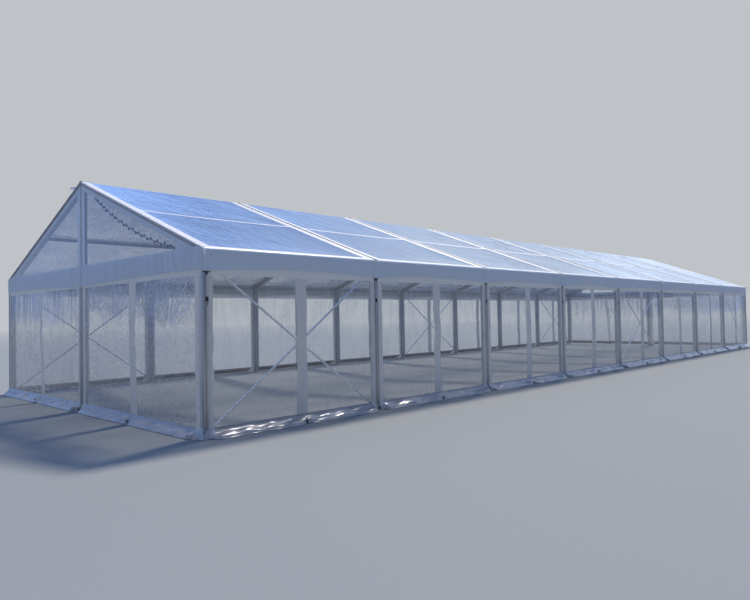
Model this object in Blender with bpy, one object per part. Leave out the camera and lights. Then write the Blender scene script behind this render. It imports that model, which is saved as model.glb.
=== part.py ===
"""Clear marquee tent: eight bays of aluminium portal frames under PVC roof sheets.

Metres, +Z up. X runs along the tent, Y across it, and the origin is on the ground in the
middle of the plan. "Near" is the long side at -Y and "front" is the gable end at -X.
"""

import itertools
import math

import bmesh
import bpy
from mathutils import Vector

# Overall size
BAY = 3.0                   # spacing of the portal frames
BAYS = 8
WIDTH = 7.5                 # over the outer faces of the legs
EAVE_HEIGHT = 2.33          # roof skin over the outer face of a leg
ROOF_RISE = 1.405           # from there up to the ridge
SEAT = 0.0003               # gap left where two pieces rest on each other

# Aluminium frame
LEG_WIDTH = 0.08            # along the tent
LEG_DEPTH = 0.10            # across the tent
RAFTER_DEPTH = 0.12
GROOVE_WIDTH = 0.014        # slot down the middle of every leg and rafter
GROOVE_DEPTH = 0.012
PLATE_LENGTH = 0.20         # base plate, along the wall that it stands under
PLATE_INSIDE = 0.02         # how far it shows inside a leg
PLATE_OUTSIDE = 0.06        # and outside, where its pegs go
PLATE_THICKNESS = 0.008
BEAM_WIDTH = 0.05           # ridge, purlins, eave beams and gable rails
BEAM_HEIGHT = 0.06
BEAM_COVER = 0.028          # rafter metal left over a beam, measured upright
PURLIN_REACH = 1.82         # from the ridge out to each purlin
POST_WIDTH = 0.08           # gable post, across the tent
RAIL_DROP = 0.10            # eave height down to the top of a gable rail
RAIL_INSET = 0.01           # end of a gable rail, in from the outer face of a leg

# Steel cross bracing
BRACED_BAYS = (1, 5, 8)
ROD_DIAMETER = 0.030
ROD_SIDES = 10
LUG_WIDTH = 0.04
LUG_HEIGHT = 0.07
LUG_THICKNESS = 0.006
BRACE_TOP = 0.205           # eave height down to the middle of the upper lugs
BRACE_FOOT = 0.085          # ground up to the middle of the lower lugs

# PVC skins
FILM = 0.003                # clear film
HEM = 0.006                 # film with its white hem
OVERHANG = 0.016            # outer face of a valance beyond the legs
VALANCE_DEPTH = 0.29
ROOF_SLOT = 0.03            # strip of bare rafter between two roof skins
WALL_SLOT = 0.05            # strip of bare leg between two wall skins
ROOF_HEM = 0.155            # white hem beside each rafter
WALL_HEM = 0.10             # white hem beside each leg
STRIP_WIDTH = 0.20          # white strip halfway between two legs
HEADER_TOP = 0.05           # eave height down to the top of the wall header
HEADER_DEPTH = 0.29
SKIRT_HEIGHT = 0.14
SKIRT_REACH = 0.15          # how far the skirt leans out at the ground
SKIRT_CLEAR = 0.002
GABLE_HEM = 0.13            # white hem under the rafters of a gable
GABLE_HEM_WIDTH = 0.30      # white hem over the gable post
GABLE_CORNER = 0.68         # white corner of a gable sheet, in from the leg
GABLE_VALANCE_RISE = 0.02   # top of the gable valance above the eave

# String of small lights along the front gable, (y, drop below the rafter) by eye
STRING_DIAMETER = 0.010
STRING_POINTS = 78
STRING_ROUTE = ((-0.42, 0.0), (-0.60, 0.052), (-0.85, 0.100), (-1.15, 0.143), (-1.50, 0.168),
                (-1.90, 0.180), (-2.30, 0.164), (-2.70, 0.126), (-3.10, 0.064), (-3.42, 0.0))

LENGTH = BAY * BAYS
SLOPE = ROOF_RISE / (WIDTH / 2)
SLANT = math.hypot(1.0, SLOPE)
RAFTER_TOP = HEM + SEAT
RAFTER_FOOT = RAFTER_TOP + RAFTER_DEPTH


# Shared sizes and tools

def roof_z(y, below=0.0):
    """Height of a line that runs under the roof skin, 'below' it measured square to it."""
    return EAVE_HEIGHT + SLOPE * (WIDTH / 2 - abs(y)) - below * SLANT


def frame_x(number):
    """Middle of portal frame 0 to BAYS. The end frames stand flush with the gables."""
    x = (number - BAYS / 2) * BAY
    if number == 0:
        x += LEG_WIDTH / 2
    if number == BAYS:
        x -= LEG_WIDTH / 2
    return x


def clear_scene():
    for thing in list(bpy.data.objects):
        bpy.data.objects.remove(thing, do_unlink=True)


def make_material(name, colour, roughness, metallic=0.0, alpha=1.0):
    material = bpy.data.materials.new(name)
    material.use_nodes = True
    shader = material.node_tree.nodes["Principled BSDF"]
    shader.inputs["Base Color"].default_value = (*colour, 1.0)
    shader.inputs["Roughness"].default_value = roughness
    shader.inputs["Metallic"].default_value = metallic
    shader.inputs["Alpha"].default_value = alpha
    return material


def make_object(name, mesh_maker, material):
    """Object from a bmesh, with its faces pointing out."""
    bmesh.ops.recalc_face_normals(mesh_maker, faces=mesh_maker.faces)
    mesh = bpy.data.meshes.new(name)
    mesh_maker.to_mesh(mesh)
    mesh_maker.free()
    thing = bpy.data.objects.new(name, mesh)
    bpy.context.scene.collection.objects.link(thing)
    if material:
        mesh.materials.append(material)
    return thing


def loft(name, rings, material):
    """Closed solid through rings of points, capped at both ends."""
    shape = bmesh.new()
    loops = [[shape.verts.new(point) for point in ring] for ring in rings]
    for lower, upper in zip(loops, loops[1:]):
        for i in range(len(lower)):
            j = (i + 1) % len(lower)
            shape.faces.new((lower[i], lower[j], upper[j], upper[i]))
    shape.faces.new(loops[0])
    shape.faces.new(loops[-1])
    return make_object(name, shape, material)


def box(name, low, high, material=None):
    corners = [(low[0], low[1]), (high[0], low[1]), (high[0], high[1]), (low[0], high[1])]
    return loft(name, [[(x, y, z) for x, y in corners] for z in (low[2], high[2])], material)


def rod(name, start, end, diameter, material):
    """Round rod that slopes between two upright faces, with its ends cut flush to them."""
    run, rise = end[0] - start[0], end[2] - start[2]
    stretch = math.hypot(run, rise) / abs(run)
    turns = [2 * math.pi * i / ROD_SIDES for i in range(ROD_SIDES)]
    offsets = [(diameter / 2 * math.cos(a), diameter / 2 * math.sin(a) * stretch) for a in turns]
    rings = [[(x, y + across, z + up) for across, up in offsets] for x, y, z in (start, end)]
    return loft(name, rings, material)


def cell_solid(name, cuts, filled, place, material):
    """One closed body from the filled cells of a grid. place() puts a grid point in the tent."""
    shape = bmesh.new()
    corners = {}
    sizes = [len(cut) - 1 for cut in cuts]

    def corner(key):
        if key not in corners:
            corners[key] = shape.verts.new(place(*(cuts[a][key[a]] for a in range(3))))
        return corners[key]

    def solid(cell):
        return all(0 <= c < n for c, n in zip(cell, sizes)) and filled(*cell)

    for cell in itertools.product(*(range(n) for n in sizes)):
        if not solid(cell):
            continue
        for axis, step in itertools.product(range(3), (-1, 1)):
            beside = list(cell)
            beside[axis] += step
            if solid(beside):
                continue
            first, second = [a for a in range(3) if a != axis]
            quad = []
            for u, v in ((0, 0), (1, 0), (1, 1), (0, 1)):
                key = list(cell)
                key[axis] += 1 if step > 0 else 0
                key[first] += u
                key[second] += v
                quad.append(corner(tuple(key)))
            shape.faces.new(quad)
    return make_object(name, shape, material)


def boolean(thing, tools, operation):
    """Join or cut with other objects, which stay in the file as hidden tools."""
    for tool in tools:
        tool.hide_render = True
        tool.display_type = "WIRE"
        step = thing.modifiers.new(tool.name, "BOOLEAN")
        step.operation = operation
        step.solver = "EXACT"
        step.object = tool


# Aluminium frame

def leg(name, number, side, material):
    """Grooved leg on its base plate. Its top is cut to the slope of the rafter."""
    x, out = frame_x(number), side * WIDTH / 2
    half, groove = LEG_WIDTH / 2, GROOVE_WIDTH / 2
    outline = [(-half, 0), (-groove, 0), (-groove, GROOVE_DEPTH), (groove, GROOVE_DEPTH),
               (groove, 0), (half, 0), (half, LEG_DEPTH), (-half, LEG_DEPTH)]
    plan = [(x + along, out - side * inward) for along, inward in outline]
    foot = PLATE_THICKNESS / 2
    rings = [[(px, py, foot) for px, py in plan],
             [(px, py, roof_z(py, RAFTER_FOOT + SEAT)) for px, py in plan]]
    thing = loft(name, rings, material)
    ys = sorted((out + side * PLATE_OUTSIDE, out - side * (LEG_DEPTH + PLATE_INSIDE)))
    plate = box(name + "_plate_tool", (x - PLATE_LENGTH / 2, ys[0], 0),
                (x + PLATE_LENGTH / 2, ys[1], PLATE_THICKNESS))
    boolean(thing, [plate], "UNION")
    return thing


def beam_place(reach):
    """Middle of a beam in the depth of a rafter, at this distance from the ridge."""
    edge = max(0.0, reach + BEAM_WIDTH / 2)
    return roof_z(edge, RAFTER_TOP) - BEAM_COVER - BEAM_HEIGHT / 2


def eave_reach():
    return WIDTH / 2 - LEG_DEPTH / 2


def beam_lines():
    """Where the five long beams run, as (name, y, z)."""
    lines = [("ridge_beam", 0.0, beam_place(0.0))]
    for label, side in (("near", -1), ("far", 1)):
        lines.append((label + "_purlin", side * PURLIN_REACH, beam_place(PURLIN_REACH)))
        lines.append((label + "_eave_beam", side * eave_reach(), beam_place(eave_reach())))
    return lines


def long_beam(name, y, z, clearance, reach, material=None):
    half_width, half_height = BEAM_WIDTH / 2 + clearance, BEAM_HEIGHT / 2 + clearance
    return box(name, (-reach, y - half_width, z - half_height), (reach, y + half_width, z + half_height),
               material)


def rafter_pair(name, number, slots, material):
    """Two grooved rafters joined at the ridge, with a slot for every long beam."""
    x, half, groove = frame_x(number), LEG_WIDTH / 2, GROOVE_WIDTH / 2
    cross = [(-half, RAFTER_TOP), (-groove, RAFTER_TOP), (-groove, RAFTER_TOP + GROOVE_DEPTH),
             (groove, RAFTER_TOP + GROOVE_DEPTH), (groove, RAFTER_TOP), (half, RAFTER_TOP),
             (half, RAFTER_FOOT), (-half, RAFTER_FOOT)]
    rings = [[(x + along, y, roof_z(y, below)) for along, below in cross]
             for y in (-WIDTH / 2, 0.0, WIDTH / 2)]
    thing = loft(name, rings, material)
    boolean(thing, slots, "DIFFERENCE")
    return thing


def gable_post(name, end, material):
    """Post from the ground to the underside of the ridge, flush with the gable frame."""
    half = POST_WIDTH / 2
    top = RAFTER_FOOT + SEAT
    outline = [(-half, PLATE_THICKNESS / 2), (half, PLATE_THICKNESS / 2), (half, roof_z(half, top)),
               (0.0, roof_z(0.0, top)), (-half, roof_z(half, top))]
    outer, inner = end * LENGTH / 2, end * (LENGTH / 2 - LEG_WIDTH)
    thing = loft(name, [[(x, y, z) for y, z in outline] for x in (outer, inner)], material)
    xs = sorted((outer + end * PLATE_OUTSIDE, inner - end * PLATE_INSIDE))
    plate = box(name + "_plate_tool", (xs[0], -PLATE_LENGTH / 2, 0),
                (xs[1], PLATE_LENGTH / 2, PLATE_THICKNESS))
    boolean(thing, [plate], "UNION")
    return thing


def gable_rail(name, end, material):
    """Rail across the inside of a gable, lapped over the corner legs and the post."""
    near_face = LENGTH / 2 - LEG_WIDTH - SEAT
    xs = sorted((end * near_face, end * (near_face - BEAM_WIDTH)))
    top = EAVE_HEIGHT - RAIL_DROP
    reach = WIDTH / 2 - RAIL_INSET
    return box(name, (xs[0], -reach, top - BEAM_HEIGHT), (xs[1], reach, top), material)


# Steel cross bracing

def cross_brace(name, bay, side, material):
    """Two crossed rods between the legs of one bay, with a lug at each end."""
    y = side * (WIDTH / 2 - LEG_DEPTH / 2)
    left = frame_x(bay - 1) + LEG_WIDTH / 2 + SEAT
    right = frame_x(bay) - LEG_WIDTH / 2 - SEAT
    heights = (BRACE_FOOT, EAVE_HEIGHT - BRACE_TOP)
    lug_middle = LUG_THICKNESS / 2
    ends = [((left + lug_middle, y, heights[i]), (right - lug_middle, y, heights[1 - i])) for i in (0, 1)]
    thing = rod(name, *ends[0], ROD_DIAMETER, material)
    tools = [rod(name + "_rod_tool", *ends[1], ROD_DIAMETER, None)]
    for x, z in itertools.product((left, right - LUG_THICKNESS), heights):
        tools.append(box(name + "_lug_tool", (x, y - LUG_WIDTH / 2, z - LUG_HEIGHT / 2),
                         (x + LUG_THICKNESS, y + LUG_WIDTH / 2, z + LUG_HEIGHT / 2)))
    boolean(thing, tools, "UNION")
    return thing


# PVC skins

def roof_sheet(name, bay, material):
    """Skin of one bay over the ridge, with thick hems at the rafters and a valance each side."""
    left = -LENGTH / 2 - OVERHANG if bay == 1 else frame_x(bay - 1) + ROOF_SLOT / 2
    right = LENGTH / 2 + OVERHANG if bay == BAYS else frame_x(bay) - ROOF_SLOT / 2
    film_top = HEM - FILM
    cross = [(left, HEM), (left, 0), (left + ROOF_HEM, 0), (left + ROOF_HEM, film_top),
             (right - ROOF_HEM, film_top), (right - ROOF_HEM, 0), (right, 0), (right, HEM)]
    edge = WIDTH / 2 + OVERHANG
    hang = EAVE_HEIGHT - VALANCE_DEPTH
    rings = []
    for side in (-1, 1):
        corner = [(x, side * (edge - below), roof_z(edge - below, below)) for x, below in cross]
        foot = [(x, side * (edge - below), hang) for x, below in cross]
        rings.append([foot, corner])
    ridge = [(x, 0.0, roof_z(0.0, below)) for x, below in cross]
    thing = loft(name, rings[0] + [ridge] + rings[1][::-1], material)
    meet_left = left if bay == 1 else frame_x(bay - 1) + SEAT / 2
    meet_right = right if bay == BAYS else frame_x(bay) - SEAT / 2
    valances = []
    for side in (-1, 1):
        ys = sorted((side * edge, side * (edge - HEM)))
        valances.append(box(name + "_valance_tool", (meet_left, ys[0], hang),
                            (meet_right, ys[1], EAVE_HEIGHT - HEM * 2)))
    boolean(thing, valances, "UNION")
    return thing


def wall_columns(posts):
    """Cuts across a wall, and what each column between them is."""
    cuts, kinds = [posts[0] + WALL_SLOT / 2], []
    for number in range(len(posts) - 1):
        start = posts[number] + WALL_SLOT / 2
        stop = posts[number + 1] - WALL_SLOT / 2
        middle = (posts[number] + posts[number + 1]) / 2
        cuts += [start + WALL_HEM, middle - STRIP_WIDTH / 2, middle + STRIP_WIDTH / 2, stop - WALL_HEM, stop]
        kinds += ["hem", "film", "hem", "film", "hem"]
        if number < len(posts) - 2:
            cuts.append(posts[number + 1] + WALL_SLOT / 2)
            kinds.append("slot")
    return cuts, kinds


def wall(name, posts, place, material):
    """Clear wall hung from a header, open over every post, with a skirt that leans out."""
    cuts, kinds = wall_columns(posts)
    header = EAVE_HEIGHT - HEADER_TOP
    heights = [SKIRT_CLEAR, SKIRT_HEIGHT, header - HEADER_DEPTH, header]
    rows = ["skirt", "sheet", "header"]

    def filled(column, row, layer):
        if rows[row] == "header":
            return True
        if kinds[column] == "slot":
            return False
        return layer == 0 or kinds[column] == "hem" or rows[row] == "skirt"

    def placed(along, z, depth):
        lean = SKIRT_REACH if z == SKIRT_CLEAR else 0.0
        return place(along, SEAT + depth + lean, z)

    return cell_solid(name, [cuts, heights, [0.0, FILM, HEM]], filled, placed, material)


def side_wall(name, side, material):
    posts = [-LENGTH / 2] + [frame_x(number) for number in range(1, BAYS)] + [LENGTH / 2]
    return wall(name, posts, lambda along, out, z: (along, side * (WIDTH / 2 + out), z), material)


def end_wall(name, end, material):
    posts = [-WIDTH / 2, 0.0, WIDTH / 2]
    return wall(name, posts, lambda along, out, z: (end * (LENGTH / 2 + out), along, z), material)


def gable_sheet(name, end, material):
    """White gable sheet with two clear windows, and the valance that hangs from its foot."""
    half, under = WIDTH / 2, HEM + SEAT
    foot = EAVE_HEIGHT - HEADER_TOP + SEAT
    eave = roof_z(half, under)

    def place(depth):
        return end * (LENGTH / 2 + SEAT + depth)

    def plate(label, outline, inner, outer, finish=None):
        return loft(label, [[(place(depth), y, z) for y, z in outline] for depth in (inner, outer)], finish)

    outline = [(-half, foot), (half, foot), (half, eave), (0.0, roof_z(0.0, under)), (-half, eave)]
    thing = plate(name, outline, 0.0, HEM, material)
    top = EAVE_HEIGHT + GABLE_VALANCE_RISE
    windows = []
    for side in (-1, 1):
        ys = [side * GABLE_HEM_WIDTH / 2, side * (half - GABLE_CORNER)]
        opening = [(y, top) for y in ys] + [(y, roof_z(y, under + GABLE_HEM)) for y in ys[::-1]]
        windows.append(plate(name + "_window_tool", opening, FILM, HEM * 2))
    boolean(thing, windows, "DIFFERENCE")

    shoulder = half - (top - eave) / SLOPE
    bottom = EAVE_HEIGHT - VALANCE_DEPTH
    inside, behind, front = HEM / 2, OVERHANG - HEM, OVERHANG - SEAT
    rings = []
    for y, crown in ((SEAT - half, eave), (-shoulder, top), (shoulder, top), (half - SEAT, eave)):
        section = [(inside, foot + FILM), (behind, foot + FILM), (behind, bottom), (front, bottom),
                   (front, crown - SEAT), (inside, crown - SEAT)]
        rings.append([(place(depth), y, z) for depth, z in section])
    boolean(thing, [loft(name + "_valance_tool", rings, None)], "UNION")
    return thing


# String of lights

def smooth_route(points, count):
    """Even points along a smooth curve through a few chosen ones."""
    ends = [2 * points[0] - points[1]] + points + [2 * points[-1] - points[-2]]
    result = []
    for i in range(count):
        place = i / (count - 1) * (len(points) - 1)
        start = min(int(place), len(points) - 2)
        t = place - start
        a, b, c, d = ends[start:start + 4]
        result.append(0.5 * (2 * b + t * (c - a) + t * t * (2 * a - 5 * b + 4 * c - d)
                             + t * t * t * (3 * b - a - 3 * c + d)))
    return result


def light_string(name, material):
    """Cable of small lights, hung from the underside of the front rafters at both ends."""
    x = frame_x(0)
    under = RAFTER_FOOT + SEAT + STRING_DIAMETER / 2
    route = [Vector((x, y, roof_z(y, under) - drop)) for y, drop in STRING_ROUTE]
    curve = bpy.data.curves.new(name, "CURVE")
    curve.dimensions = "3D"
    curve.bevel_depth = STRING_DIAMETER / 2
    curve.bevel_resolution = 2
    curve.use_fill_caps = True
    spline = curve.splines.new("POLY")
    points = smooth_route(route, STRING_POINTS)
    spline.points.add(len(points) - 1)
    for spot, point in zip(spline.points, points):
        spot.co = (*point, 1.0)
    curve.materials.append(material)
    thing = bpy.data.objects.new(name, curve)
    bpy.context.scene.collection.objects.link(thing)
    return thing


# The tent

def build():
    clear_scene()
    aluminium = make_material("aluminium", (0.60, 0.62, 0.65), 0.38, metallic=1.0)
    steel = make_material("galvanised_steel", (0.55, 0.57, 0.60), 0.42, metallic=1.0)
    clear_pvc = make_material("clear_pvc", (0.82, 0.88, 0.94), 0.08, alpha=0.35)
    cable = make_material("black_cable", (0.03, 0.03, 0.035), 0.5)

    slots = []
    for name, y, z in beam_lines():
        long_beam(name, y, z, 0.0, LENGTH / 2, aluminium)
        slots.append(long_beam(name + "_slot_tool", y, z, SEAT, LENGTH / 2 + LEG_WIDTH))
    for number in range(BAYS + 1):
        rafter_pair(f"rafter_pair_{number + 1}", number, slots, aluminium)
        for label, side in (("near", -1), ("far", 1)):
            leg(f"{label}_leg_{number + 1}", number, side, aluminium)
    for label, end in (("front", -1), ("rear", 1)):
        gable_post(label + "_gable_post", end, aluminium)
        gable_rail(label + "_gable_rail", end, aluminium)
        end_wall(label + "_wall", end, clear_pvc)
        gable_sheet(label + "_gable_sheet", end, clear_pvc)
    for label, side in (("near", -1), ("far", 1)):
        side_wall(label + "_wall", side, clear_pvc)
        for bay in BRACED_BAYS:
            cross_brace(f"{label}_cross_brace_{bay}", bay, side, steel)
    for bay in range(1, BAYS + 1):
        roof_sheet(f"roof_sheet_{bay}", bay, clear_pvc)
    light_string("light_string", cable)


build()
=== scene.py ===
# %% [markdown]
# A clear party marquee, dressed around its CAD frame
#
# The CAD part gives the exact frame: nine aluminium portal frames, beams, braces and plain
# slabs that mark where the PVC skins hang. This lesson keeps the metal but for the braces,
# which it draws again as bolted tubes. It swaps every slab for sheets that sag, ripple, gather
# and carry their white hems, and adds the small fittings.

# %% Load the frame
import math
import random

import bmesh
import bpy
from mathutils import Matrix, Vector


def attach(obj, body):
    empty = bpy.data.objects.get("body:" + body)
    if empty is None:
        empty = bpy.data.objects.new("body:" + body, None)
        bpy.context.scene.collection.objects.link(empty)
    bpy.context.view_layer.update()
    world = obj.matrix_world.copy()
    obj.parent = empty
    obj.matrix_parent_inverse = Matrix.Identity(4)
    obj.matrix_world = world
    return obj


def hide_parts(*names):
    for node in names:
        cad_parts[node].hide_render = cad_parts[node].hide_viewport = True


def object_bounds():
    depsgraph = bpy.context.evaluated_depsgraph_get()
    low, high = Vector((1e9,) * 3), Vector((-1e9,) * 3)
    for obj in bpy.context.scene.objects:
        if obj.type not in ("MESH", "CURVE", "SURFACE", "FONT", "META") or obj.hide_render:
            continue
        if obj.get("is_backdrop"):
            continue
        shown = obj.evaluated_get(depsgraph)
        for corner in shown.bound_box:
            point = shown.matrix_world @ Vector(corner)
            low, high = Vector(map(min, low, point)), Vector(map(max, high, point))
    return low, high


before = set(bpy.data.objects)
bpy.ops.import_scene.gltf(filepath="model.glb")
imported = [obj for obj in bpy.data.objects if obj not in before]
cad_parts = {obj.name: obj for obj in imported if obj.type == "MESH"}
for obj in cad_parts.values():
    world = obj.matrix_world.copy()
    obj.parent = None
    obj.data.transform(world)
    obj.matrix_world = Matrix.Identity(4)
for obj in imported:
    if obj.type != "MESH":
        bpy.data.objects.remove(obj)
cad_low, cad_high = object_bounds()
print("CAD box", [round(v, 3) for v in (*cad_low, *cad_high)])

# %% [markdown]
# Sizes
#
# A dressed piece has to sit on the CAD metal, so the sizes of the tent are written down once
# here, in metres. X runs along the tent, Y across it, and the front gable is at -X.

# %% Sizes of the tent
BAY = 3.0
BAYS = 8
HALF_LENGTH = BAY * BAYS / 2
HALF_WIDTH = 3.75
EAVE = 2.33
RISE = 1.405
SLOPE = RISE / HALF_WIDTH
SLANT = math.hypot(1.0, SLOPE)
LEG_WIDTH = 0.08
LEG_DEPTH = 0.10
PURLIN_REACH = 1.82
OVERHANG = 0.016
VALANCE = 0.29
ROOF_SLOT = 0.03
WALL_SLOT = 0.05
ROOF_HEM = 0.155
SIDE_HEM = 0.10
END_HEM = 0.135
STRIP = 0.19
WALL_TOP = EAVE - 0.05
HEADER = 0.29
SKIRT_TOP = 0.13
BRACED_BAYS = (1, 5, 8)
SIDES = (("near", -1), ("far", 1))
ENDS = (("front", -1), ("rear", 1))


def roof_z(y, below=0.0):
    """Height of the roof line at y, 'below' it measured square to the slope."""
    return EAVE + SLOPE * (HALF_WIDTH - abs(y)) - below * SLANT


def frame_x(number):
    """Middle of portal frame 0 to BAYS."""
    x = (number - BAYS / 2) * BAY
    if number == 0:
        x += LEG_WIDTH / 2
    if number == BAYS:
        x -= LEG_WIDTH / 2
    return x


print("ridge height", round(roof_z(0.0), 3))

# %% [markdown]
# Camera
#
# The photograph was taken 1.45 m above the ground, 7.9 m off the near front corner and tipped
# up by a degree and a half. The place, aim and lens come from fitting the tent's own ridge,
# eaves and legs to the picture, so the render can be laid over it.

# %% Camera at the photograph's viewpoint
EYE = Vector((-16.015, -10.534, 1.4525))
YAW, PITCH, ROLL = (math.radians(a) for a in (44.119, 1.455, -1.031))
ahead = Vector((math.cos(PITCH) * math.cos(YAW), math.cos(PITCH) * math.sin(YAW), math.sin(PITCH)))
level = Vector((math.sin(YAW), -math.cos(YAW), 0.0))
above = level.cross(ahead)
right = level * math.cos(ROLL) + above * math.sin(ROLL)
above = above * math.cos(ROLL) - level * math.sin(ROLL)
camera_data = bpy.data.cameras.new("photo_camera")
camera_data.sensor_width = 36.0
camera_data.lens = 30.18
camera_data.clip_end = 400.0
camera = bpy.data.objects.new("photo_camera", camera_data)
camera.matrix_world = Matrix((
    (right.x, above.x, -ahead.x, EYE.x),
    (right.y, above.y, -ahead.y, EYE.y),
    (right.z, above.z, -ahead.z, EYE.z),
    (0.0, 0.0, 0.0, 1.0)))
bpy.context.scene.collection.objects.link(camera)
bpy.context.scene.camera = camera
print("camera", [round(v, 2) for v in EYE], camera_data.lens, "mm")

# %% [markdown]
# Shader helpers
#
# Every finish below is built from nodes. Small helpers keep the node code readable: they add
# a node and set its inputs, do sums with masks, or open a node group with named sockets. An
# effect that several materials share is such a group, made once and tuned in each material.


# %% Node helpers
def add(tree, kind, inputs=None, **settings):
    """A node with its settings, and its inputs set to numbers or linked from other sockets."""
    made = tree.nodes.new(kind)
    for key, value in settings.items():
        setattr(made, key, value)
    for key, value in (inputs or {}).items():
        if isinstance(value, bpy.types.NodeSocket):
            tree.links.new(value, made.inputs[key])
        else:
            made.inputs[key].default_value = value
    return made


def maths(tree, operation, first, second=0.5, clamp=False):
    return add(tree, "ShaderNodeMath", {0: first, 1: second}, operation=operation,
               use_clamp=clamp).outputs[0]


def times(tree, first, second, clamp=False):
    return maths(tree, "MULTIPLY", first, second, clamp)


def plus(tree, first, second, clamp=False):
    return maths(tree, "ADD", first, second, clamp)


def noise(tree, place, scale, detail=2.0, **inputs):
    """Soft noise between 0 and 1. inputs are the node's other sockets, by name."""
    sockets = {"Vector": place, "Scale": scale, "Detail": detail, **inputs}
    return add(tree, "ShaderNodeTexNoise", sockets).outputs["Fac"]


def stretched(tree, place, factors):
    """Coordinates multiplied along each axis."""
    return add(tree, "ShaderNodeVectorMath", {0: place, 1: factors}, operation="MULTIPLY").outputs[0]


def blend_colour(tree, share, first, second):
    made = add(tree, "ShaderNodeMix", data_type="RGBA")
    for key, value in ((0, share), (6, first), (7, second)):
        if isinstance(value, bpy.types.NodeSocket):
            tree.links.new(value, made.inputs[key])
        else:
            made.inputs[key].default_value = value
    return made.outputs[2]


def remap(tree, value, low, high, new_low=0.0, new_high=1.0):
    return add(tree, "ShaderNodeMapRange", {0: value, 1: low, 2: high, 3: new_low, 4: new_high}).outputs[0]


def open_group(name, inputs, outputs):
    """A shader node group: inputs as (name, default), outputs as names. Gives tree, in and out."""
    tree = bpy.data.node_groups.new(name, "ShaderNodeTree")
    for label, value in inputs:
        kind = "NodeSocketVector" if isinstance(value, tuple) else "NodeSocketFloat"
        tree.interface.new_socket(label, in_out="INPUT", socket_type=kind).default_value = value
    for label in outputs:
        tree.interface.new_socket(label, in_out="OUTPUT", socket_type="NodeSocketFloat")
    start, end = tree.nodes.new("NodeGroupInput"), tree.nodes.new("NodeGroupOutput")
    return tree, start, end


def use_group(tree, group, **values):
    made = add(tree, "ShaderNodeGroup", node_tree=group)
    for key, value in values.items():
        socket = made.inputs[key.replace("_", " ")]
        if isinstance(value, bpy.types.NodeSocket):
            tree.links.new(value, socket)
        else:
            socket.default_value = value
    return made


def open_material(name, slot_colour, roughness, metallic=0.0):
    """A material with its Principled shader, and the piece's own coordinates in metres."""
    material = bpy.data.materials.new(name)
    material.use_nodes = True
    tree = material.node_tree
    shader = tree.nodes["Principled BSDF"]
    shader.inputs["Base Color"].default_value = (*slot_colour, 1.0)
    shader.inputs["Roughness"].default_value = roughness
    shader.inputs["Metallic"].default_value = metallic
    place = tree.nodes.new("ShaderNodeTexCoord").outputs["Object"]
    material.diffuse_color = (*slot_colour, 1.0)
    return material, tree, shader, place


def bump(tree, height, strength, distance, normal=None):
    made = add(tree, "ShaderNodeBump", {"Strength": strength, "Distance": distance, "Height": height})
    if normal:
        tree.links.new(normal, made.inputs["Normal"])
    return made.outputs["Normal"]


print("helpers ready")

# %% [markdown]
# Shared effects
#
# Tent cloth is a polyester weave under a vinyl coat, and packing it away leaves soft creases
# in it. Rain throws soil up the lowest 20 to 50 cm of everything, and water runs leave upright
# streaks. Where film is pinched, its creases spread like a fan. Each of these is one group,
# and the materials that show it share it.

# %% Weave of the coated cloth
weave_group, start, end = open_group("Coated weave", [("Place", (0.0, 0.0, 0.0)), ("Threads", 90.0)], ["Height"])
rows = []
for axis in ("X", "Y", "Z"):
    rows.append(add(weave_group, "ShaderNodeTexWave", {
        "Vector": start.outputs["Place"], "Scale": start.outputs["Threads"], "Distortion": 0.6, "Detail": 1.0},
        wave_type="BANDS", bands_direction=axis).outputs["Fac"])
total = plus(weave_group, plus(weave_group, rows[0], rows[1]), rows[2])
weave_group.links.new(times(weave_group, total, 1 / 3), end.inputs["Height"])
print("group", weave_group.name)

# %% Creases from packing
crease_group, start, end = open_group(
    "Packing creases",
    [("Place", (0.0, 0.0, 0.0)), ("Scale", 3.0), ("Stretch", (1.0, 1.0, 1.0)), ("Sharpness", 9.0), ("Crumple", 1.2)],
    ["Height", "Lines"])
moved = stretched(crease_group, start.outputs["Place"], start.outputs["Stretch"])
soft = noise(crease_group, moved, start.outputs["Scale"], 3.0, Roughness=0.5, Distortion=start.outputs["Crumple"])
ridge = maths(crease_group, "ABSOLUTE", maths(crease_group, "SUBTRACT", soft, 0.5))
lines = maths(crease_group, "SUBTRACT", 1.0, times(crease_group, ridge, start.outputs["Sharpness"]), clamp=True)
crease_group.links.new(plus(crease_group, soft, times(crease_group, lines, 0.35)),
                       end.inputs["Height"])
crease_group.links.new(lines, end.inputs["Lines"])
print("group", crease_group.name)

# %% Soil thrown up from the ground
soil_group, start, end = open_group(
    "Ground soil", [("Place", (0.0, 0.0, 0.0)), ("Reach", 0.30), ("Amount", 0.5)], ["Mask"])
height = add(soil_group, "ShaderNodeSeparateXYZ", {0: start.outputs["Place"]}).outputs["Z"]
low = maths(soil_group, "SUBTRACT", 1.0, maths(soil_group, "DIVIDE", height, start.outputs["Reach"]), clamp=True)
spots = noise(soil_group, start.outputs["Place"], 9.0, 8.0, Roughness=0.7)
thrown = times(soil_group, maths(soil_group, "POWER", low, 1.6), remap(soil_group, spots, 0.38, 0.68))
soil_group.links.new(times(soil_group, thrown, start.outputs["Amount"], clamp=True), end.inputs["Mask"])
print("group", soil_group.name)

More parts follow.
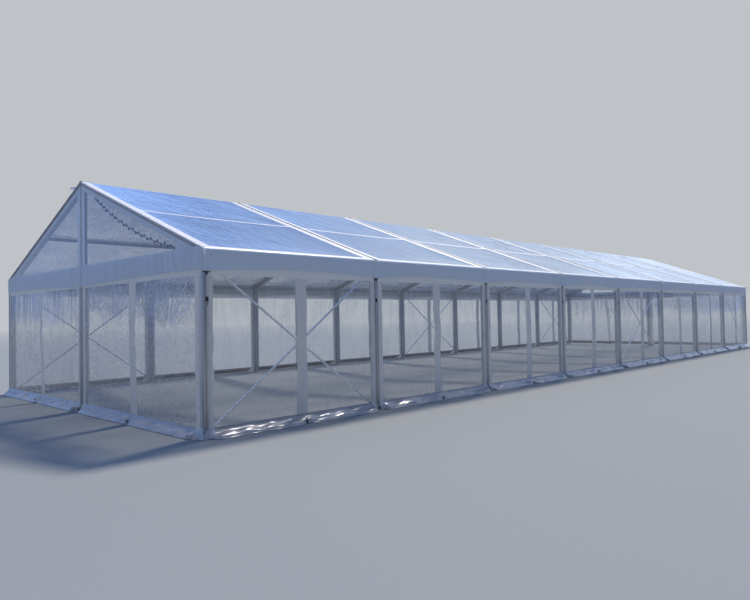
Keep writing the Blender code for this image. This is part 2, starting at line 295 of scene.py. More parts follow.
# %% Upright water streaks
streak_group, start, end = open_group(
    "Water streaks", [("Place", (0.0, 0.0, 0.0)), ("Across", 14.0), ("Along", 0.7)], ["Mask"])
across = add(streak_group, "ShaderNodeCombineXYZ", {
    0: start.outputs["Across"], 1: start.outputs["Across"], 2: start.outputs["Along"]}).outputs[0]
moved = stretched(streak_group, start.outputs["Place"], across)
runs = noise(streak_group, moved, 1.0, 6.0, Roughness=0.65)
streak_group.links.new(remap(streak_group, runs, 0.42, 0.72), end.inputs["Mask"])
print("group", streak_group.name)

# %% Creases that fan out from a pinched place
fan_group, start, end = open_group(
    "Fan creases", [("Place", (0.0, 0.0, 0.0)), ("Across", 0.0), ("Up", 1.5), ("Rays", 12.0), ("Reach", 0.7)],
    ["Lines", "Shade"])
parts = add(fan_group, "ShaderNodeSeparateXYZ", {0: start.outputs["Place"]})
aside = maths(fan_group, "SUBTRACT", parts.outputs["Y"], start.outputs["Across"])
raised = maths(fan_group, "SUBTRACT", parts.outputs["Z"], start.outputs["Up"])
angle = maths(fan_group, "ARCTAN2", aside, raised)
reach = maths(fan_group, "SQRT", plus(fan_group, times(fan_group, aside, aside),
                                       times(fan_group, raised, raised)))
ray = add(fan_group, "ShaderNodeCombineXYZ", {
    0: times(fan_group, angle, start.outputs["Rays"]), 1: times(fan_group, reach, 2.6)}).outputs[0]
folds = noise(fan_group, ray, 1.0, 3.0, Distortion=0.5)
sharp = times(fan_group, maths(fan_group, "ABSOLUTE", maths(fan_group, "SUBTRACT", folds, 0.5)), 17.0)
sharp = maths(fan_group, "SUBTRACT", 1.0, sharp, clamp=True)
near = remap(fan_group, maths(fan_group, "DIVIDE", reach, start.outputs["Reach"]), 1.0, 0.45)
clear_of_middle = remap(fan_group, reach, 0.04, 0.16)
upward = remap(fan_group, maths(fan_group, "ABSOLUTE", angle), 1.5, 0.9)
shown = times(fan_group, times(fan_group, near, clear_of_middle), upward)
# Lines are pale rays, partly the film's whitening and partly a painted highlight; Shade is a painted shade beside them.
fan_group.links.new(times(fan_group, sharp, shown), end.inputs["Lines"])
fan_group.links.new(times(fan_group, remap(fan_group, folds, 0.47, 0.36), shown), end.inputs["Shade"])
print("group", fan_group.name)

# %% [markdown]
# Metals
#
# The frame is drawn aluminium, dulled by years of handling: streaks along each profile, a
# cloudy oxide and darker scuffs. The braces and the small fittings are zinc-coated steel,
# whose crystals show as pale flakes. Both are partly metallic, because a dull layer of oxide
# covers them, and their life is in the roughness.

# %% Aluminium and steel
ALUMINIUM = (0.58, 0.565, 0.55)
OXIDE = (0.42, 0.41, 0.405, 1.0)
aluminium, tree, shader, place = open_material("aluminium", ALUMINIUM, 0.42, metallic=0.45)
cloud = noise(tree, place, 2.6, 7.0, Roughness=0.6)
drawn = use_group(tree, streak_group, Place=place, Across=160.0, Along=2.0).outputs["Mask"]
worn = use_group(tree, streak_group, Place=place, Across=22.0, Along=1.5).outputs["Mask"]
soil = use_group(tree, soil_group, Place=place, Reach=0.30, Amount=0.22).outputs["Mask"]
colour = blend_colour(tree, times(tree, remap(tree, cloud, 0.4, 0.75), 0.55), (*ALUMINIUM, 1.0), OXIDE)
colour = blend_colour(tree, times(tree, worn, 0.20), colour, (0.30, 0.29, 0.29, 1.0))
colour = blend_colour(tree, soil, colour, (0.23, 0.19, 0.14, 1.0))
tree.links.new(colour, shader.inputs["Base Color"])
rough = plus(tree, times(tree, drawn, 0.16), 0.32)
tree.links.new(plus(tree, rough, times(tree, soil, 0.4), clamp=True), shader.inputs["Roughness"])
tree.links.new(bump(tree, drawn, 0.12, 0.0015), shader.inputs["Normal"])

steel, tree, shader, place = open_material("galvanised_steel", (0.70, 0.72, 0.75), 0.30, metallic=0.60)
flakes = add(tree, "ShaderNodeTexVoronoi", {"Vector": place, "Scale": 70.0, "Randomness": 1.0}, feature="F1")
tone = add(tree, "ShaderNodeSeparateColor", {0: flakes.outputs["Color"]}).outputs[0]
stain = noise(tree, place, 11.0, 6.0)
colour = blend_colour(tree, tone, (0.83, 0.84, 0.86, 1.0), (0.92, 0.93, 0.95, 1.0))
colour = blend_colour(tree, times(tree, remap(tree, stain, 0.55, 0.8), 0.25), colour, (0.33, 0.31, 0.29, 1.0))
tree.links.new(colour, shader.inputs["Base Color"])
tree.links.new(remap(tree, tone, 0.0, 1.0, 0.24, 0.30), shader.inputs["Roughness"])
tree.links.new(bump(tree, stain, 0.08, 0.0002), shader.inputs["Normal"])
print("metals", aluminium.name, steel.name)

# %% [markdown]
# White cloth
#
# The white hems, valances and skirts are vinyl-coated cloth with a low shine. Each has its own
# tint, and the tints paint light and shade: the valances and gable sheets carry a painted cool
# blue shade, the roof's hems a painted sunlit white, the wall hems a painted warm shade from the
# ground, the skirts a darker painted shade and the header a brighter beige that paints the sun
# shining through it. Part of the light enters the thin cloth and comes out behind it, which
# Subsurface does.

# %% White coated cloth
# WHITE_PAINTED_COOL_SHADE is white cloth with a painted cool blue shade, ROOF_HEM_PAINTED_SUNLIT the same cloth painted
# sunlit, and HEM_PAINTED_GROUND_SHADE the same cloth in a painted warm shade from the ground.
WHITE_PAINTED_COOL_SHADE = (0.73, 0.81, 0.93)
ROOF_HEM_PAINTED_SUNLIT = (0.84, 0.82, 0.80)
HEM_PAINTED_GROUND_SHADE = (0.76, 0.74, 0.71)
# HEADER_PAINTED_SUNLIGHT is a pale beige, brightened to paint the sun that shines through the valance and the header.
HEADER_PAINTED_SUNLIGHT = (0.95, 0.91, 0.82)
# SKIRT_PAINTED_SHADE is the skirt cloth darkened to a painted shade.
SKIRT_PAINTED_SHADE = (0.49, 0.44, 0.39)
SOIL = (0.30, 0.25, 0.18, 1.0)
SCATTER = 0.004


def let_light_through(shader, share, scatter=SCATTER):
    """Sets the share of the light that enters a sheet, and how far it wanders inside."""
    shader.inputs["Subsurface Weight"].default_value = share
    shader.inputs["Subsurface Radius"].default_value = (1.0, 1.0, 1.0)
    shader.inputs["Subsurface Scale"].default_value = scatter


def coated_cloth(name, tint, roughness, shine, soil_amount, crease_scale, crease_stretch, crease_depth,
                 run_and_shade_amount=0.16, run_across=7.0, let_through=0.5, scatter=SCATTER):
    """shine is the weight of its coat, and run_and_shade_amount and run_across are how strong and how
    fine the darker upright runs are: water runs, and where run_and_shade_amount is large a painted shade of
    the cloth's folds."""
    material, tree, shader, place = open_material(name, tint, roughness)
    stain_and_shade = (tint[0] * 0.80, tint[1] * 0.80, tint[2] * 0.77, 1.0)
    runs = use_group(tree, streak_group, Place=place, Across=run_across, Along=1.1).outputs["Mask"]
    soil = use_group(tree, soil_group, Place=place, Reach=0.22, Amount=soil_amount).outputs["Mask"]
    folds = use_group(tree, crease_group, Place=place, Scale=crease_scale, Stretch=crease_stretch, Sharpness=10.0,
                      Crumple=0.8)
    threads = use_group(tree, weave_group, Place=place, Threads=140.0).outputs["Height"]
    colour = blend_colour(tree, times(tree, runs, run_and_shade_amount), (*tint, 1.0), stain_and_shade)
    tree.links.new(blend_colour(tree, soil, colour, SOIL), shader.inputs["Base Color"])
    rough = plus(tree, times(tree, runs, 0.10), roughness)
    tree.links.new(plus(tree, rough, times(tree, soil, 0.3), clamp=True),
                   shader.inputs["Roughness"])
    shader.inputs["Coat Weight"].default_value = shine
    shader.inputs["Coat Roughness"].default_value = 0.12
    let_light_through(shader, let_through, scatter)
    normal = bump(tree, threads, 0.2, 0.0005)
    tree.links.new(bump(tree, folds.outputs["Height"], 0.5, crease_depth, normal), shader.inputs["Normal"])
    return material


white_pvc = coated_cloth("white_pvc", WHITE_PAINTED_COOL_SHADE, 0.42, 0.12, 0.4, 1.6, (1.0, 1.0, 0.6), 0.008)
roof_hem_pvc = coated_cloth("roof_hem_pvc", ROOF_HEM_PAINTED_SUNLIT, 0.46, 0.05, 0.4, 1.6, (1.0, 1.0, 0.6), 0.006)
hem_pvc = coated_cloth("hem_pvc", HEM_PAINTED_GROUND_SHADE, 0.42, 0.12, 0.4, 1.6, (1.0, 1.0, 0.6), 0.008, let_through=0.85)
header_pvc = coated_cloth("header_pvc", HEADER_PAINTED_SUNLIGHT, 0.48, 0.05, 0.0, 2.0, (1.0, 1.0, 0.5), 0.010, let_through=0.9)
skirt_pvc = coated_cloth("skirt_pvc", SKIRT_PAINTED_SHADE, 0.20, 0.9, 0.30, 2.6, (0.7, 0.7, 3.0), 0.012)
# The gathered valances' strong, fine runs are mostly a painted shade of their folds.
gathered_pvc = coated_cloth("gathered_pvc", WHITE_PAINTED_COOL_SHADE, 0.42, 0.15, 0.0, 3.0, (2.4, 2.4, 0.5), 0.020, 0.75, 16.0)
# painted_sunlit_pvc is a brighter white that paints the sunlight catching the bead tails and the curtains' edges.
painted_sunlit_pvc = coated_cloth("painted_sunlit_pvc", (0.96, 0.96, 0.95), 0.35, 0.3, 0.0, 2.0, (1.0, 1.0, 1.0), 0.002,
                        let_through=1.0, scatter=0.03)
print("cloth", *(cloth.name for cloth in (white_pvc, roof_hem_pvc, hem_pvc, header_pvc, skirt_pvc, gathered_pvc,
                                          painted_sunlit_pvc)))

# %% [markdown]
# Clear film
#
# The clear film is the same vinyl without the weave: almost see-through, with a faint blue
# cast, a haze of dust, dried drops and creases. The blue of the roof and the windows is deepened
# to paint the sky seen in them, and the end films get a dark haze, a painted shade. A thin film
# with real refraction is slow and noisy, so Alpha carries what the film hides, and Metallic the
# share of that which mirrors. As in glass, both change where the film turns away from the eye,
# which a Layer Weight tells. The roof's glitter isn't drawn: ripples tilt the mirror, and the
# sky and the sun do the rest.

# %% Marks in the film
# CREASE_WHITE_AND_HIGHLIGHT colours the pale lines: dried drops, the film's whitening in its creases, and a painted
# highlight on them.
CREASE_WHITE_AND_HIGHLIGHT = (0.86, 0.89, 0.94, 1.0)
GRAZING_GLOSS = (0.97, 0.98, 1.0, 1.0)
MIRROR_FACE_ON, MIRROR_GRAZING = 0.045, 0.9
VEIL_FACE_ON, VEIL_GRAZING = 0.5, 1.3
STREAK_FOOT, STREAK_TOP = 1.20, 1.98
RIDGE_SHADE_FAR, RIDGE_SHADE_NEAR = 1.7, 0.20


def upright_streaks(tree, place, height, across):
    """Streaks under the header: their relief, their pale share, partly the film's whitening and
    partly a painted highlight, and their dark share, a painted shade.
    """
    runs = noise(tree, stretched(tree, place, (across, across, 0.9)), 1.0, 1.5, Distortion=0.3)
    hanging = maths(tree, "POWER", remap(tree, height, STREAK_FOOT, STREAK_TOP), 1.3)
    return [times(tree, share, hanging)
            for share in (runs, remap(tree, runs, 0.52, 0.66), remap(tree, runs, 0.47, 0.36))]


def film_marks(tree, place, creases, crease_haze_and_highlight, fade, streaks, fans, fan_haze_and_shade):
    """Relief, pale lines and dark painted shade of the packing creases, the streaks and the fans;
    the pale lines are partly the film's whitening and partly a painted highlight.
    """
    stretch, scale, sharpness, crumple = creases
    folds = use_group(tree, crease_group, Place=place, Scale=scale, Stretch=stretch, Sharpness=sharpness,
                      Crumple=crumple)
    height = add(tree, "ShaderNodeSeparateXYZ", {0: place}).outputs["Z"]
    worn = remap(tree, height, *fade, 0.2, 1.0)
    relief = times(tree, folds.outputs["Height"], worn)
    lines = times(tree, times(tree, folds.outputs["Lines"], worn), crease_haze_and_highlight)
    shade = 0.0
    if streaks:
        across, pale_and_highlight_amount, streak_shade_amount = streaks
        ripple, pale_and_highlight, streak_shade = upright_streaks(tree, place, height, across)
        relief = plus(tree, relief, ripple)
        lines = plus(tree, lines, times(tree, pale_and_highlight, pale_and_highlight_amount))
        shade = times(tree, streak_shade, streak_shade_amount)
    for across, up, rays, reach in fans:
        fan = use_group(tree, fan_group, Place=place, Across=across, Up=up, Rays=rays, Reach=reach).outputs
        relief = plus(tree, relief, times(tree, fan["Lines"], 0.5))
        lines = plus(tree, lines, times(tree, fan["Lines"], fan_haze_and_shade))
        shade = plus(tree, shade, times(tree, fan["Shade"], fan_haze_and_shade * 0.8))
    return relief, lines, shade


def tight_ripples(tree, place, scales, depth, normal):
    """Ripples in film that is pulled tight, stronger in some patches than in others."""
    fine = noise(tree, stretched(tree, place, scales), 1.0, Roughness=0.5)
    patches = noise(tree, place, 0.55)
    return bump(tree, times(tree, fine, remap(tree, patches, 0.40, 0.62, 0.25, 1.0)), 0.7, depth, normal)


def dried_drops(tree, place, dust):
    """Round marks where rain dried, in the dusty patches."""
    drops = add(tree, "ShaderNodeTexVoronoi", {"Vector": place, "Scale": 6.0, "Randomness": 1.0}).outputs["Distance"]
    return times(tree, remap(tree, drops, 0.15, 0.07), remap(tree, dust, 0.50, 0.58))


print("marks of the film ready")


# %% Shader of the film
def clear_film(name, tint, mirror_tint, haze, creases, crease_haze_and_highlight, crease_depth, fade=(0.0, 0.1), spots=0.0,
               pulled=(), streaks=None, fans=(), fan_haze_and_shade=0.0, let_through=0.0, painted_ridge_shade=0.0):
    """haze is how much the dust hides face on, and painted_ridge_shade how much a painted shade of the ridge
    beam adds to it near the ridge. creases are the stretch, scale, sharpness and crumple of the
    packing creases, crease_haze_and_highlight and crease_depth how much their pale lines hide and how deep they
    are, and fade the pair of heights between which they grow from a fifth to full. spots is how
    much a dried drop hides. pulled has, for each kind of ripple in tight film, its scale along
    each axis and its depth. streaks are how fine the upright ones are, how pale and how dark. fans
    are the place across, the height, the ray count and the reach of creases that spread out, and
    fan_haze_and_shade how much their pale lines and their painted shade hide. The pale lines are partly the
    film's whitening and partly a painted highlight, and the dark of the streaks is a painted
    shade. let_through is the share of the light that enters the haze and the creases, so that
    some of the sun behind a gable comes out in front."""
    material, tree, shader, place = open_material(name, tint, 0.08)
    relief, lines, shade = film_marks(tree, place, creases, crease_haze_and_highlight, fade, streaks, fans, fan_haze_and_shade)
    normal = bump(tree, relief, 0.7, crease_depth)
    for *scales, depth in pulled:
        normal = tight_ripples(tree, place, scales, depth, normal)
    tree.links.new(normal, shader.inputs["Normal"])
    dust = noise(tree, place, 0.9, 9.0, Roughness=0.72)
    grit = noise(tree, place, 20.0, 4.0, Roughness=0.75)
    soil = use_group(tree, soil_group, Place=place, Reach=0.5, Amount=0.25).outputs["Mask"]
    turned = add(tree, "ShaderNodeLayerWeight", {"Blend": 0.5, "Normal": normal}).outputs["Facing"]
    mirror = remap(tree, maths(tree, "POWER", turned, 5.0), 0.0, 1.0, MIRROR_FACE_ON, MIRROR_GRAZING)
    mirror = times(tree, mirror, remap(tree, grit, 0.36, 0.64, 0.72, 1.28))
    veil = times(tree, remap(tree, dust, 0.30, 0.75, 0.6, 1.5), haze)
    veil = times(tree, veil, remap(tree, grit, 0.36, 0.64, 0.65, 1.35))
    # shade darkens the film beside its folds, a painted shade.
    veil = plus(tree, veil, shade)
    # painted_ridge_shade is a painted shade of the ridge beam: the film grows hazier and darker towards the ridge.
    if painted_ridge_shade:
        off_ridge = maths(tree, "ABSOLUTE", add(tree, "ShaderNodeSeparateXYZ", {0: place}).outputs["Y"])
        veil = plus(tree, veil, remap(tree, off_ridge, RIDGE_SHADE_FAR, RIDGE_SHADE_NEAR, 0.0, painted_ridge_shade))
    grazing = remap(tree, maths(tree, "POWER", turned, 3.0), 0.0, 0.7, VEIL_FACE_ON, VEIL_GRAZING)
    veil = times(tree, veil, grazing)
    if spots:
        lines = plus(tree, lines, times(tree, dried_drops(tree, place, dust), spots))
    veil = plus(tree, plus(tree, veil, lines), times(tree, soil, 0.5))
    alpha = plus(tree, veil, mirror, clamp=True)
    tree.links.new(alpha, shader.inputs["Alpha"])
    shine = maths(tree, "DIVIDE", mirror, alpha, clamp=True)
    tree.links.new(shine, shader.inputs["Metallic"])
    creased = maths(tree, "DIVIDE", lines, alpha, clamp=True)
    colour = blend_colour(tree, creased, (*tint, 1.0), CREASE_WHITE_AND_HIGHLIGHT)
    colour = blend_colour(tree, soil, colour, SOIL)
    gloss = blend_colour(tree, maths(tree, "POWER", turned, 8.0), (*mirror_tint, 1.0), GRAZING_GLOSS)
    tree.links.new(blend_colour(tree, shine, colour, gloss), shader.inputs["Base Color"])
    tree.links.new(remap(tree, dust, 0.3, 0.8, 0.03, 0.14), shader.inputs["Roughness"])
    let_light_through(shader, let_through)
    material.surface_render_method = "BLENDED"
    return material


print("film shader ready")

# %% Films of the roof, the gables and the walls
# ROOF_TINT_AND_PAINTED_SKY is the film's faint blue cast, deepened to paint the sky seen through the roof and the
# windows. SKY_GLOSS tints their mirror blue, a painted sky reflection. END_TINT_PAINTED_SHADE gives the end films a
# dark haze, a painted shade, and colours their painted shade marks.
ROOF_TINT_AND_PAINTED_SKY = (0.10, 0.22, 0.50)
WALL_TINT = (0.42, 0.48, 0.56)
END_TINT_PAINTED_SHADE = (0.20, 0.24, 0.32)
SKY_GLOSS, PLAIN_GLOSS = (0.60, 0.72, 0.78), (0.84, 0.90, 1.0)
clear_roof = clear_film("clear_pvc_roof", ROOF_TINT_AND_PAINTED_SKY, SKY_GLOSS, 0.32, ((1.0, 0.5, 1.0), 1.6, 14.0, 1.0), 0.03, 0.003,
                        spots=0.4, pulled=((13.0, 5.5, 5.5, 0.018), (6.0, 2.2, 2.2, 0.030)), painted_ridge_shade=0.26)
clear_gable = clear_film("clear_pvc_gable", ROOF_TINT_AND_PAINTED_SKY, SKY_GLOSS, 0.05, ((1.0, 1.0, 1.0), 0.8, 16.0, 1.0), 0.03, 0.006)
clear_wall = clear_film("clear_pvc_wall", WALL_TINT, PLAIN_GLOSS, 0.08, ((2.4, 2.4, 0.40), 1.1, 16.0, 0.8), 0.07, 0.014,
                        fade=(0.6, 1.9))
NEAR_FANS = ((-2.37, 1.46, 13.0, 0.72), (-2.90, 1.32, 10.0, 0.78), (-1.25, 1.48, 12.0, 0.60), (-0.55, 1.56, 10.0, 0.50))
clear_near_end = clear_film("clear_pvc_near_end", END_TINT_PAINTED_SHADE, PLAIN_GLOSS, 0.16, ((1.6, 1.6, 1.3), 5.5, 20.0, 2.2), 0.50,
                            0.008, fade=(1.35, 1.80), fans=NEAR_FANS, fan_haze_and_shade=0.50, let_through=0.9)
clear_far_end = clear_film("clear_pvc_far_end", END_TINT_PAINTED_SHADE, PLAIN_GLOSS, 0.16, ((2.4, 2.4, 0.40), 1.2, 16.0, 0.8), 0.20,
                           0.020, fade=(0.9, 1.9), streaks=(10.0, 0.50, 0.45), let_through=0.9)
print("film", clear_roof.name, clear_gable.name, clear_wall.name, clear_near_end.name, clear_far_end.name)

# %% [markdown]
# Fittings, channels and cable
#
# The latches and pegs are black and scuffed where hands and hammers touch them. The bead
# grooves are dark with the shade inside them, painted as a dark grey finish, and the face of the
# gable's channel is dull metal, darkened as a painted shade under the roof's lip. The cable of
# the lights is black rubber, ribbed by the cores in it.


# %% Dark fittings and cable
def two_tone(tree, shader, mask, low, high):
    """A base colour that goes from low to high with the mask."""
    tree.links.new(blend_colour(tree, mask, (*low, 1.0), (*high, 1.0)), shader.inputs["Base Color"])


fitting, tree, shader, place = open_material("black_fitting", (0.022, 0.024, 0.030), 0.45)
scuffs = noise(tree, place, 40.0, 6.0)
two_tone(tree, shader, remap(tree, scuffs, 0.5, 0.8), (0.020, 0.022, 0.028), (0.075, 0.078, 0.088))
tree.links.new(remap(tree, scuffs, 0.3, 0.7, 0.35, 0.6), shader.inputs["Roughness"])
tree.links.new(bump(tree, scuffs, 0.15, 0.001), shader.inputs["Normal"])

# slot_shade is a painted shade for the dark grooves, mottled a little.
slot_shade, tree, shader, place = open_material("slot_shade", (0.10, 0.105, 0.12), 0.6)
shade_mottle = noise(tree, place, 14.0, 5.0)
two_tone(tree, shader, remap(tree, shade_mottle, 0.4, 0.7), (0.075, 0.08, 0.095), (0.15, 0.15, 0.165))

# The channel's face is dull metal, darkened to a painted shade under the roof's lip.
channel, tree, shader, place = open_material("channel_face_and_shade", (0.50, 0.50, 0.56), 0.55, metallic=0.2)
drawn = use_group(tree, streak_group, Place=place, Across=40.0, Along=1.5).outputs["Mask"]
two_tone(tree, shader, drawn, (0.42, 0.42, 0.49), (0.56, 0.56, 0.62))
tree.links.new(bump(tree, drawn, 0.1, 0.001), shader.inputs["Normal"])

cable, tree, shader, place = open_material("black_cable", (0.02, 0.02, 0.023), 0.5)
ribs = add(tree, "ShaderNodeTexWave", {"Vector": place, "Scale": 60.0, "Distortion": 2.0}).outputs["Fac"]
two_tone(tree, shader, ribs, (0.016, 0.016, 0.02), (0.05, 0.05, 0.055))
tree.links.new(bump(tree, ribs, 0.4, 0.001), shader.inputs["Normal"])

lamp_glass, tree, shader, place = open_material("lamp_cap", (0.10, 0.10, 0.11), 0.18)
grain = noise(tree, place, 120.0)
two_tone(tree, shader, grain, (0.02, 0.02, 0.025), (0.12, 0.115, 0.11))
print("fittings", fitting.name, slot_shade.name, channel.name, cable.name, lamp_glass.name)

# %% [markdown]
# Cloth helpers
#
# All the skins are grids: columns along the tent, rows over the ridge or down the wall. A
# function says where each grid point lies, another says which cells are white cloth and which
# are clear film, and a Solidify modifier gives the sheet a thickness: 2 mm, where the real
# film is under 1 mm. Ripples are sums of a few sine waves with a fixed seed, so every run
# gives the same tent.


# %% Mesh helpers
def link_mesh(name, points, faces, finishes, materials):
    mesh = bpy.data.meshes.new(name)
    mesh.from_pydata(points, [], faces)
    for material in materials:
        mesh.materials.append(material)
    mesh.polygons.foreach_set("material_index", finishes)
    mesh.polygons.foreach_set("use_smooth", [True] * len(faces))
    mesh.update()
    thing = bpy.data.objects.new(name, mesh)
    bpy.context.scene.collection.objects.link(thing)
    return thing


def grid_sheet(name, columns, rows, place, finish, materials, thickness, flip=False):
    """A sheet through place(column, row), with a thickness that grows away from its front."""
    wide = len(columns)
    points = [place(i, j) for j in range(len(rows)) for i in range(wide)]
    faces, finishes = [], []
    for j in range(len(rows) - 1):
        for i in range(wide - 1):
            a = j * wide + i
            quad = (a, a + 1, a + wide + 1, a + wide)
            faces.append(quad[::-1] if flip else quad)
            finishes.append(finish(i, j))
    thing = link_mesh(name, points, faces, finishes, materials)
    solid = thing.modifiers.new("Thickness", "SOLIDIFY")
    solid.thickness = thickness
    solid.offset = -1.0
    return thing


def make_waves(seed, count, along, up):
    """Gentle waves with lengths from these ranges in metres, between -1 and 1."""
    chance = random.Random(seed)
    parts = []
    for _ in range(count):
        parts.append((2 * math.pi / chance.uniform(*along), chance.choice((-1, 1)) * 2 * math.pi / chance.uniform(*up),
                      chance.uniform(0, 2 * math.pi), chance.uniform(0.5, 1.0)))
    total = sum(part[3] for part in parts)

    def waves(u, v):
        return sum(size * math.sin(ku * u + kv * v + phase) for ku, kv, phase, size in parts) / total
    return waves


def spread(start, stop, step):
    """Even places from start to stop, both included, about a step apart."""
    count = max(1, round(abs(stop - start) / step))
    return [start + (stop - start) * i / count for i in range(count + 1)]


def hump(share):
    """0 at both ends of 0 to 1, and 1 in the middle."""
    return math.sin(math.pi * min(1.0, max(0.0, share)))


def dress(piece, *nodes, slot):
    """Rides on the one body and stands for its CAD nodes, which it hides. slot is not used."""
    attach(piece, "root")
    if nodes:
        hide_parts(*nodes)
    return piece


print("cloth helpers ready")

# %% [markdown]
# Roof covers
#
# Each bay of the roof is one sheet from the bottom of one valance, over the ridge, to the
# bottom of the other. Clear film fills the middle, and a white hem runs beside each rafter
# and along the eaves. The film is tight, so it sags only a finger's width between the beams,
# and less near the ridge, where the ridge beam carries it.
# The valance hangs free: its lower edge rises in a shallow arch between the legs.

# %% Roof cover of each bay
FILM_THICKNESS = 0.002
ROOF_SAG = 0.020
RIDGE_SAG_SHARE = 0.2
RIDGE_REACH = 0.7
HEM_STIFF, SIDE_REACH, EAVE_REACH = 0.06, 0.28, 0.35
RIPPLE_DEPTH, TENSION_DEPTH, TENSION_REACH = 0.0011, 0.0007, 0.45
FIELD_SAG = 0.008
VALANCE_ARCH = 0.045
VALANCE_LAP, VALANCE_SHORT = 0.045, 0.001
EAVE_STRIP = 0.080
EAVE_ROUND = 0.014
# PURLIN_HIGHLIGHT_BAND is half the width of a white band where the film lies on each purlin, a painted highlight of the
# purlin's top.
PURLIN_HIGHLIGHT_BAND = 0.028
BEAD_DROP = 0.006
LIP = 0.022


def roof_columns(left, right, lip_left, lip_right):
    """X of each column, and how far it drops: hems, film between, and a folded lip at a gable."""
    hem = [0.0, 0.004, 0.012, 0.05, 0.10, ROOF_HEM - 0.018, ROOF_HEM]
    middle = spread(left + ROOF_HEM, right - ROOF_HEM, 0.12)[1:-1]
    xs = [left + h for h in hem] + middle + [right - h for h in hem[::-1]]
    drops = [0.0] * len(xs)
    drops[0] = drops[-1] = BEAD_DROP
    if lip_left:
        xs = [left] + xs
        drops = [LIP, BEAD_DROP * 0.5] + drops[1:]
    if lip_right:
        xs = xs + [right]
        drops = drops[:-1] + [BEAD_DROP * 0.5, LIP]
    return xs, drops


def roof_rows():
    """Rows over one slope: the valance from 0 to 1 up to the eave, then the way in from the eave."""
    run = HALF_WIDTH + OVERHANG
    purlin = run - PURLIN_REACH
    slope = [0.016, 0.03, EAVE_STRIP]
    slope += spread(EAVE_STRIP, purlin - 0.07, 0.14)[1:] + [purlin - PURLIN_HIGHLIGHT_BAND, purlin, purlin + PURLIN_HIGHLIGHT_BAND]
    slope += spread(purlin + 0.07, run - 0.05, 0.14) + [run - 0.03, run - 0.012]
    return [("valance", t) for t in (0.0, 0.03, 0.10, 0.13, 0.3, 0.5, 0.7, 0.86, 0.95)] + [("slope", q) for q in slope]


def roof_cover(bay):
    first, last = bay == 1, bay == BAYS
    left = -HALF_LENGTH - OVERHANG if first else frame_x(bay - 1) + ROOF_SLOT / 2
    right = HALF_LENGTH + OVERHANG if last else frame_x(bay) - ROOF_SLOT / 2
    xs, drops = roof_columns(left, right, first, last)
    one_side = roof_rows()
    rows = [(-1, kind, q) for kind, q in one_side] + [(0, "ridge", 0.0)] + [(1, kind, q) for kind, q in one_side[::-1]]
    ripple = make_waves(bay * 7 + 1, 6, (0.35, 1.3), (0.3, 1.2))
    tension = make_waves(bay * 7 + 2, 4, (0.10, 0.22), (0.5, 1.2))
    flutter = make_waves(bay * 7 + 3, 4, (0.25, 0.9), (2.0, 4.0))
    meet_left = left if first else frame_x(bay - 1) - VALANCE_LAP
    meet_right = right if last else frame_x(bay) - VALANCE_SHORT
    edge = HALF_WIDTH + OVERHANG

    def place(i, j):
        side, kind, q = rows[j]
        x = xs[i]
        share = (x - left) / (right - left)
        if kind == "valance":
            x = meet_left + share * (meet_right - meet_left)
            low = EAVE - VALANCE + VALANCE_ARCH * 4 * share * (1 - share)
            z = low + (EAVE - EAVE_ROUND - low) * q
            wave = 0.004 * flutter(x, side * z) * (1 - q) * (0.25 + hump(share))
            curl = -0.012 * (1 - q) ** 3 * hump(share)
            lap = 0.004 * (1 - share) * (1 - q) if not first else 0.0
            return (x, side * (edge + wave + curl + lap), z)
        y = 0.0 if kind == "ridge" else edge - q
        inside = min(x - left, right - x)
        slack = 1 - math.exp(-max(0.0, inside - HEM_STIFF) / SIDE_REACH)
        sag = ROOF_SAG * slack * min(1.0, max(0.0, edge - y - EAVE_STRIP) / EAVE_REACH) ** 0.8
        sag *= RIDGE_SAG_SHARE + (1 - RIDGE_SAG_SHARE) * min(1.0, y / RIDGE_REACH)
        for low_y, high_y in ((0.0, PURLIN_REACH), (PURLIN_REACH, edge - EAVE_STRIP)):
            if low_y <= y <= high_y:
                sag += FIELD_SAG * slack * hump((y - low_y) / (high_y - low_y))
        off_beams = hump(y / PURLIN_REACH) if y < PURLIN_REACH else hump((y - PURLIN_REACH) / (edge - PURLIN_REACH))
        calm = (0.25 + 0.75 * off_beams) * slack
        pull = TENSION_DEPTH * tension(y, x) * math.exp(-inside / TENSION_REACH) * calm
        sag -= RIPPLE_DEPTH * (ripple(x, y) - 0.6) * calm + pull
        rounding = EAVE_ROUND * max(0.0, 1 - q / 0.03) ** 2 if kind == "slope" else 0.004
        return (x, side * y, roof_z(y, max(0.0, sag) + drops[i]) - rounding * 0.5)

    last_row = len(one_side) - 1

    def finish(i, j):
        kind, q = one_side[min(j, 2 * last_row + 1 - j, last_row)]
        if kind == "valance":
            return 0
        if q < EAVE_STRIP - 1e-6 or min(xs[i] - left, right - xs[i + 1]) < ROOF_HEM - 1e-6:
            return 2
        middle_y = edge - (rows[j][2] + rows[j + 1][2]) / 2
        # The white band along a purlin is a painted highlight.
        return 2 if kind == "slope" and abs(middle_y - PURLIN_REACH) < PURLIN_HIGHLIGHT_BAND else 1

    piece = grid_sheet(f"roof_cover_{bay}", xs, rows, place, finish, [white_pvc, clear_roof, roof_hem_pvc],
                       FILM_THICKNESS)
    dress(piece, f"roof_sheet_{bay}", slot="clear_pvc")
    return piece


roof_covers = [roof_cover(bay) for bay in range(1, BAYS + 1)]
print("roof covers", len(roof_covers), "with", len(roof_covers[0].data.polygons), "cells each")

# %% [markdown]
# Wall curtains
#
# A wall hangs from a header under the valance and slides into the grooves of the legs by a
# bead along each edge. A white strip down the middle of every bay hangs free, so it wanders a
# few centimetres. Below the film a skirt of shiny cloth turns outward on the ground, pegged at
# the inner legs and at the strip. One function draws all twenty curtains. The side ones differ
# in their seed, and at a corner of the tent in how far the skirt spreads. The gable ones also
# have their own hems, strip, film and folds.

